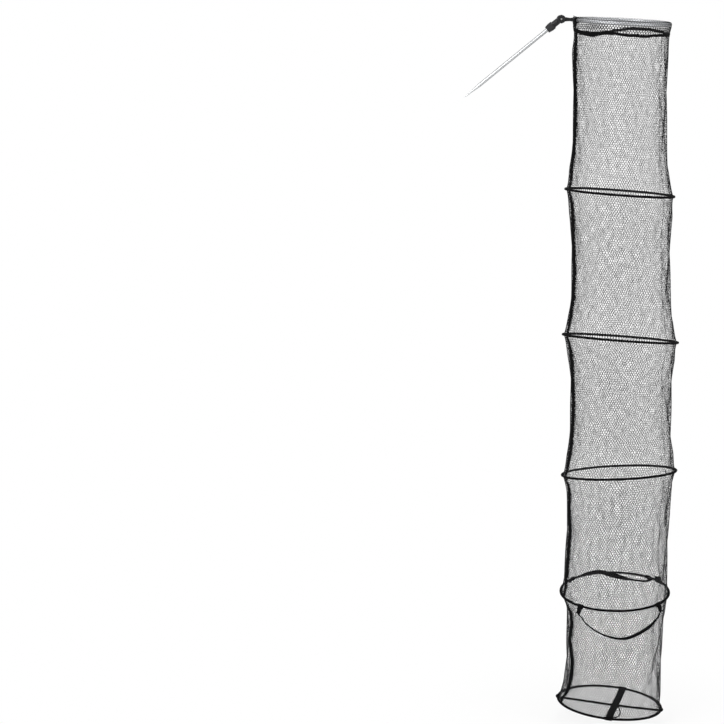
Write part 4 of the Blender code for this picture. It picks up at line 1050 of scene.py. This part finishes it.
def handle_route(shape):
    """The handle's path and its outward directions, in the fourth hoop's frame."""
    turns, drops, outs = (smooth_table(shape[k + "_shares"], HANDLE_STEPS) for k in ("turn", "drop", "out"))
    out = compass(shape["first"] + (shape["last"] - shape["first"]) * turns)
    path = out * (HANDLE_HOOP_RADIUS + HANDLE_STAND_OFF * outs)[:, None]
    path[:, 2] -= drops * shape["sag"]
    return path, out


def with_ends(values):
    return np.concatenate([values[:1], values, values[-1:]])


def make_handle(name, body, node, shape):
    path, out = handle_route(shape)
    chord = unit(path[-1] - path[0])
    path = np.concatenate([path[:1] - chord * HANDLE_END_RUN, path, path[-1:] + chord * HANDLE_END_RUN])
    out = with_ends(out)
    twist = with_ends(np.radians(smooth_table(shape["twist"], HANDLE_STEPS)))[:, None]
    side = np.cos(twist) * out + np.sin(twist) * np.array([0, 0, 1.0])
    noise = default_rng(len(name))
    count = len(path)
    width = with_ends(smooth_table(shape["widths"], HANDLE_STEPS) / 1000)
    width = width * (1 + 0.05 * drift(noise, count, 3))
    path = path + out * (HANDLE_STRAY * drift(noise, count, 3))[:, None]
    depth = np.full(count, HANDLE_THICKNESS)
    for bump in shape["bumps"]:
        depth += HANDLE_BUMP * np.exp(-(((np.arange(count) / count - bump) * count) ** 2))
    found = bar(HANDLE_FRAME, path, side, width, depth, False, 12, 4.0)
    put(piece(name, HANDLE, *found), body, "handle", node)


TAB_LIFT = 0.0013
TAB_INSET = 0.001
TAB_SPREAD = 0.0012
TAB_TAIL = 0.003
TAB_THICKNESS = 0.0015
TAB_BENDS = np.radians(np.linspace(225, -20, 18))
TAB_NARROWING = 0.38
TAB_TAPER_STEPS = 14


def folded(points):
    """A smooth upright path through points given as (x, z), and the directions out of it."""
    path = smooth_table(points, 60)
    ahead = unit(np.gradient(path, axis=0))
    return upright(*path.T), upright(-ahead[:, 1], ahead[:, 0])


def make_tab(name, node, azimuth, drop, wide):
    """Webbing looped over the hoop, both ends sewn to the end of a handle."""
    turn = spin(azimuth)
    matrix = HANDLE_FRAME @ turn @ Matrix.Translation((HANDLE_HOOP_RADIUS, 0, 0))
    reach = SLEEVE_RADIUS + TAB_LIFT
    x, z = (HANDLE_STAND_OFF - TAB_INSET, -drop + TAB_INSET)
    points = [(x - TAB_SPREAD, z - TAB_TAIL), (x * 0.45, z * 0.62)]
    points += [(reach * cos(a), reach * sin(a)) for a in TAB_BENDS]
    points += [(x * 0.9, z * 0.55), (x + TAB_SPREAD, z - TAB_TAIL)]
    line, side = folded(points)
    count = len(line)
    ends = np.minimum(np.arange(count), np.arange(count)[::-1]) / TAB_TAPER_STEPS
    width = wide * (1 - TAB_NARROWING + TAB_NARROWING * np.clip(ends, 0, 1))
    found = bar(matrix, line, side, width, TAB_THICKNESS, False, 10, 5.0)
    put(piece(name, HANDLE, *found), "hoop_fourth", "handle_tab", node)


KNOT_AWAY = radians(12)
KNOT_STAND_OFF = 0.011
KNOT_SCALE = 0.005
KNOT_SECTION = (0.01, 0.0046)
KNOT_TAIL_WIDTH = 0.0075
KNOT_TAIL_INSET = 0.004


def make_knot():
    """The rear handle's spare end, tied in an overhand knot beside its right tab."""
    turn = full_turn(72)
    across, up = np.sin(turn) + 2 * np.sin(2 * turn), 0.62 * (np.cos(turn) - 2 * np.cos(2 * turn))
    loop = np.stack([across, -0.9 * np.sin(3 * turn), up], -1)
    matrix = HANDLE_FRAME @ spin(REAR_HANDLE["last"] - KNOT_AWAY)
    matrix = matrix @ Matrix.Translation((HANDLE_HOOP_RADIUS + KNOT_STAND_OFF, 0, 0))
    matrix = matrix @ spin(pi / 2)
    knot = bar(matrix, loop * KNOT_SCALE, (0, 1.0, 0), *KNOT_SECTION, True, 10, 3.0)
    share = np.linspace(0, 1, 14)
    out = compass(REAR_HANDLE["last"] - KNOT_AWAY * share)
    line = out * (HANDLE_HOOP_RADIUS + HANDLE_STAND_OFF - KNOT_TAIL_INSET * share)[:, None]
    line[:, 2] -= REAR_HANDLE["sag"] * REAR_HANDLE["drop_shares"][-1] * (1 - share) ** 1.5
    tail = bar(HANDLE_FRAME, line, out, KNOT_TAIL_WIDTH, HANDLE_THICKNESS, False, 10, 4.0)
    put(piece("handle_rear_knot", HANDLE, *joined([knot, tail])), "hoop_fourth", "handle_tab")


def make_handles():
    handles = (("front", FRONT_HANDLE), ("rear", REAR_HANDLE))
    for kind, shape in handles:
        make_handle(kind + "_carrying_strap", kind + "_handle", "handle_" + kind, shape)
    for kind, shape in handles:
        drop = shape["sag"] * shape["drop_shares"][0]
        for end, place in (("left", "first"), ("right", "last")):
            node = f"handle_{kind}_tab_{end}"
            make_tab(node.replace("tab", "loop"), node, shape[place], drop, shape["tab_width"])
    make_knot()


# Base

BASE_FRAME = HOOP_FRAMES[-1]
BASE_REACH = HOOP_DIAMETERS[-1] / 2
WIDE_FRAME = BASE_FRAME @ spin(WIDE_STRAP_TURN)
WIDE_FRAME = WIDE_FRAME @ Matrix.Translation((WIDE_STRAP_OFFSET, 0, 0))
NARROW_FRAME = BASE_FRAME @ spin(NARROW_STRAP_TURN)
FLOOR_HEIGHT = -0.0016
FLOOR_INSET = 0.0012
FLOOR_EDGE = net_radius_at(4) - FLOOR_INSET
EDGE_STRANDS = 3
EDGE_STEPS = 160
EDGE_INSET = 0.001
EDGE_SPACING = 0.0011
EDGE_WAVE = 0.0005
EDGE_NOISE = 0.0002
EDGE_DROP = 0.0008
EDGE_RISE = 0.0004
EDGE_WIDTH = 0.0016


def make_floor_net():
    surface = Sheet(BASE_FRAME, BASE_REACH, FLOOR_HEIGHT)

    def inside(angle, t):
        x, y = surface.flat(angle, t)
        return np.hypot(x, y + 0 * x) < FLOOR_EDGE

    found = lattice(surface, 0.0, 1.0, FLOOR_COLUMNS, 36, inside, share=0.55, spacing=FLOOR_SPACING)
    put(piece("floor_netting", FLOOR_TWINE, *found), "base", "base_netting", "base_net")
    turn = full_turn(EDGE_STEPS)
    parts = []
    for k in range(EDGE_STRANDS):
        noise = default_rng(37 + k)
        reach = FLOOR_EDGE - EDGE_INSET - EDGE_SPACING * k + EDGE_WAVE * np.sin(23 * turn + k)
        path = compass(turn) * (reach + noise.normal(0, EDGE_NOISE, EDGE_STEPS))[:, None]
        path[:, 2] = -EDGE_DROP + EDGE_RISE * np.sin(31 * turn + 2 * k)
        parts.append(bar(BASE_FRAME, path, compass(turn), EDGE_WIDTH, EDGE_WIDTH, True, 6))
    put(piece("floor_edge", BUNCHED, *joined(parts)[:2]), "base", "base_netting")


STRAP_LIFT = 0.0011
STRAP_BENDS = np.radians(np.linspace(-80, 125, 12))
STRAP_RUN_IN = 0.012
STRAP_STRAY = 0.0012


def strap_path(offset, height, bow, seed):
    """A strap's path across the base, folded up over the hoop at both ends, as (along, aside, up)."""
    half = sqrt(BASE_REACH**2 - offset**2)
    reach = SLEEVE_RADIUS + STRAP_LIFT
    ends = [half + reach * np.cos(STRAP_BENDS), 0 * STRAP_BENDS, reach * np.sin(STRAP_BENDS)]
    end = np.stack(ends, -1)
    along = np.linspace(-half + STRAP_RUN_IN, half - STRAP_RUN_IN, 40)
    share = along / half
    stray = STRAP_STRAY * default_rng(seed).normal(0, 1)
    middle = np.stack([along, bow * (1 - share**2) + stray * np.sin(3 * share), height + 0 * along], -1)
    start = end[::-1] * np.array([-1, 1, 1])
    return smooth_table(np.concatenate([start, middle, end]), 150)


def make_straps():
    path = strap_path(WIDE_STRAP_OFFSET + WIDE_STRAP_WIDTH / 2, WIDE_STRAP_MIDDLE, 0.0, 61)
    side = np.cross(unit(np.gradient(path, axis=0)), (0, -1.0, 0))
    path, side = (v[:, [1, 0, 2]] * np.array([-1, 1, 1]) for v in (path, side))
    found = bar(WIDE_FRAME, path, side, WIDE_STRAP_WIDTH, STRAP_THICKNESS, False, 12, 6.0)
    put(piece("floor_strap_wide", STRAP, *found), "base", "strap", "base_strap_wide")
    path = strap_path(0.0, NARROW_STRAP_MIDDLE, NARROW_STRAP_BOW, 62)
    side = np.cross(unit(np.gradient(path, axis=0)), (0, 1.0, 0)) - np.array([0, tan(STRAP_LEAN), 0])
    found = bar(NARROW_FRAME, path, side, NARROW_STRAP_WIDTH, STRAP_THICKNESS, False, 12, 6.0)
    put(piece("floor_strap_narrow", STRAP, *found), "base", "strap", "base_strap_narrow")


LOOP_LIFT = 0.0012
LOOP_BENDS = np.radians(np.linspace(165, 375, 14))
LOOP_FEET = ((0.0115, 0.0006), (0.0062, 0.0009))
LOOP_THICKNESS = 0.0014


def make_ring():
    """The tab that is folded round the D-ring's bar, and the ring."""
    reach = SEEN_RING_WIRE / 2 + LOOP_LIFT
    feet = [(x, RING_TAB_TOP - drop) for x, drop in LOOP_FEET]
    bent = [(reach * cos(a), RING_AXIS + reach * sin(a)) for a in LOOP_BENDS]
    points = [(-x, z) for x, z in feet] + bent + feet[::-1]
    line, side = (v[:, [1, 0, 2]] for v in folded(points))
    found = bar(WIDE_FRAME, line, side, RING_TAB_WIDTH, LOOP_THICKNESS, False, 10, 6.0)
    put(piece("ring_loop", STRAP, *found), "base", "strap", "ring_tab")
    bow = BOW_START - BOW_SWEEP * np.arange(15) / 14
    x, z = RING_WIDTH / 2 * np.cos(bow), RING_DROP / 2 * (np.sin(bow) - 1) - RING_WIRE
    straight = [(RING_HALF_BAR * share, 0) for share in (-1, -0.8, 0, 0.8, 1)]
    rim = np.array(straight + list(zip(x, z)))
    rim = smooth_table(np.concatenate([rim, rim[:1]]), 120)[:-1]
    line = upright(rim[:, 0], RING_AXIS + rim[:, 1])
    found = bar(WIDE_FRAME, line, (0, 1.0, 0), SEEN_RING_WIRE, SEEN_RING_WIRE, True, 14)
    put(piece("d_ring", DARK_STEEL, *found[:2]), "ring", "ring_steel", "base_ring")


def dress_nodes():
    """Better materials for the moulded and metal parts that keep their CAD shape."""
    worn = (
        (ALUMINIUM, "pole_tube", "ground_spike"),
        (PLASTIC, "socket_body", "tee_body", "collet_nut", "collet_sleeve"),
        (KNOB, "locking_knob"),
        (STEEL, "hinge_bolt", "hinge_washer"),
        (BRASS, "knob_insert"),
    )
    for material, *names in worn:
        for name in names:
            for slot in frame["nodes"][name].material_slots:
                slot.material = material


make_netting()
make_tapes()
make_seams()
make_hoops()
make_rim()
make_lashings()
make_tangle()
make_collar()
make_handles()
make_floor_net()
make_straps()
make_ring()
dress_nodes()


# Stage, light and camera

CAMERA_PLACE = (-0.35, -7.016, 0.318)
CAMERA_PITCH = radians(10)
CAMERA_LENS = 101.2
SENSOR_WIDTH = 36.0
CAMERA_REACH = (0.1, 200.0)
FLOOR_SIZE = 60.0
FLOOR_CLEAR = 0.001
SHADOW_REACH = 0.8
LIT_MIDDLE = (0.45, 0, -0.95)
LIGHTS = (
    ("key", (-2.6, -3.4, 2.2), (2.2, 2.2), 130),
    ("fill", (3.4, -3.0, 0.2), (2.5, 3.0), 60),
    ("top", (0.5, 1.6, 3.0), (2.0, 2.0), 60),
)


def make_stage():
    """A white floor that keeps the object's shadow near it and is plain white further away."""
    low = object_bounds()[0].z - FLOOR_CLEAR
    corners = [(-1, -1), (1, -1), (1, 1), (-1, 1)]
    mesh = bpy.data.meshes.new("floor")
    mesh.from_pydata([(x * FLOOR_SIZE, y * FLOOR_SIZE, 0) for x, y in corners], [], [(0, 1, 2, 3)])
    floor = linked("floor", mesh)
    floor.location = (*BASE_FRAME.translation[:2], low)
    mat, tree, shader = node_material("floor_white", (0.92, 0.92, 0.92), 0.9, 0.0, 0.0)
    glow = add(tree, "Emission", Strength=1.0)
    rays = add(tree, "LightPath").outputs["Is Camera Ray"]
    place = add(tree, "TexCoord").outputs["Object"]
    away = add(tree, "VectorMath", place, operation="LENGTH").outputs["Value"]
    limits = {"From Min": BASE_REACH, "From Max": SHADOW_REACH, "To Min": 0.86, "To Max": 1.0}
    fade = add(tree, "MapRange", interpolation_type="SMOOTHSTEP", Value=away, **limits)
    share = add(tree, "Math", rays, fade, operation="MULTIPLY")
    mix = add(tree, "MixShader", share, shader, glow)
    wire(tree, tree.nodes["Material Output"].inputs["Surface"], mix)
    mesh.materials.append(mat)


def make_world():
    """A dim white studio, which the camera sees as plain white."""
    world = bpy.data.worlds.new("studio")
    bpy.context.scene.world = world
    world.use_nodes = True
    tree = world.node_tree
    fill = tree.nodes["Background"]
    fill.inputs["Color"].default_value = (1, 1, 1, 1)
    fill.inputs["Strength"].default_value = 0.55
    seen = add(tree, "Background", Color=(1, 1, 1, 1), Strength=1.0)
    path = add(tree, "LightPath").outputs
    kinds = path["Is Camera Ray"], path["Is Transmission Ray"]
    rays = add(tree, "Math", *kinds, operation="MAXIMUM")
    mix = add(tree, "MixShader", rays, fill, seen)
    wire(tree, tree.nodes["World Output"].inputs["Surface"], mix)


def make_light(name, place, size, power):
    data = bpy.data.lights.new(name, "AREA")
    data.shape = "RECTANGLE"
    data.size, data.size_y = size
    data.energy = power
    lamp = linked(name, data)
    lamp.location = place
    lamp.rotation_mode = "QUATERNION"
    lamp.rotation_quaternion = (Vector(LIT_MIDDLE) - Vector(place)).to_track_quat("-Z", "Y")


def make_camera():
    data = bpy.data.cameras.new("camera")
    data.lens = CAMERA_LENS
    data.sensor_width = SENSOR_WIDTH
    data.clip_start, data.clip_end = CAMERA_REACH
    camera = linked("camera", data)
    camera.location = CAMERA_PLACE
    camera.rotation_euler = (pi / 2 - CAMERA_PITCH, 0, 0)
    bpy.context.scene.camera = camera


make_stage()
make_world()
for light in LIGHTS:
    make_light(*light)
make_camera()
bpy.context.scene.view_settings.view_transform = "Standard"
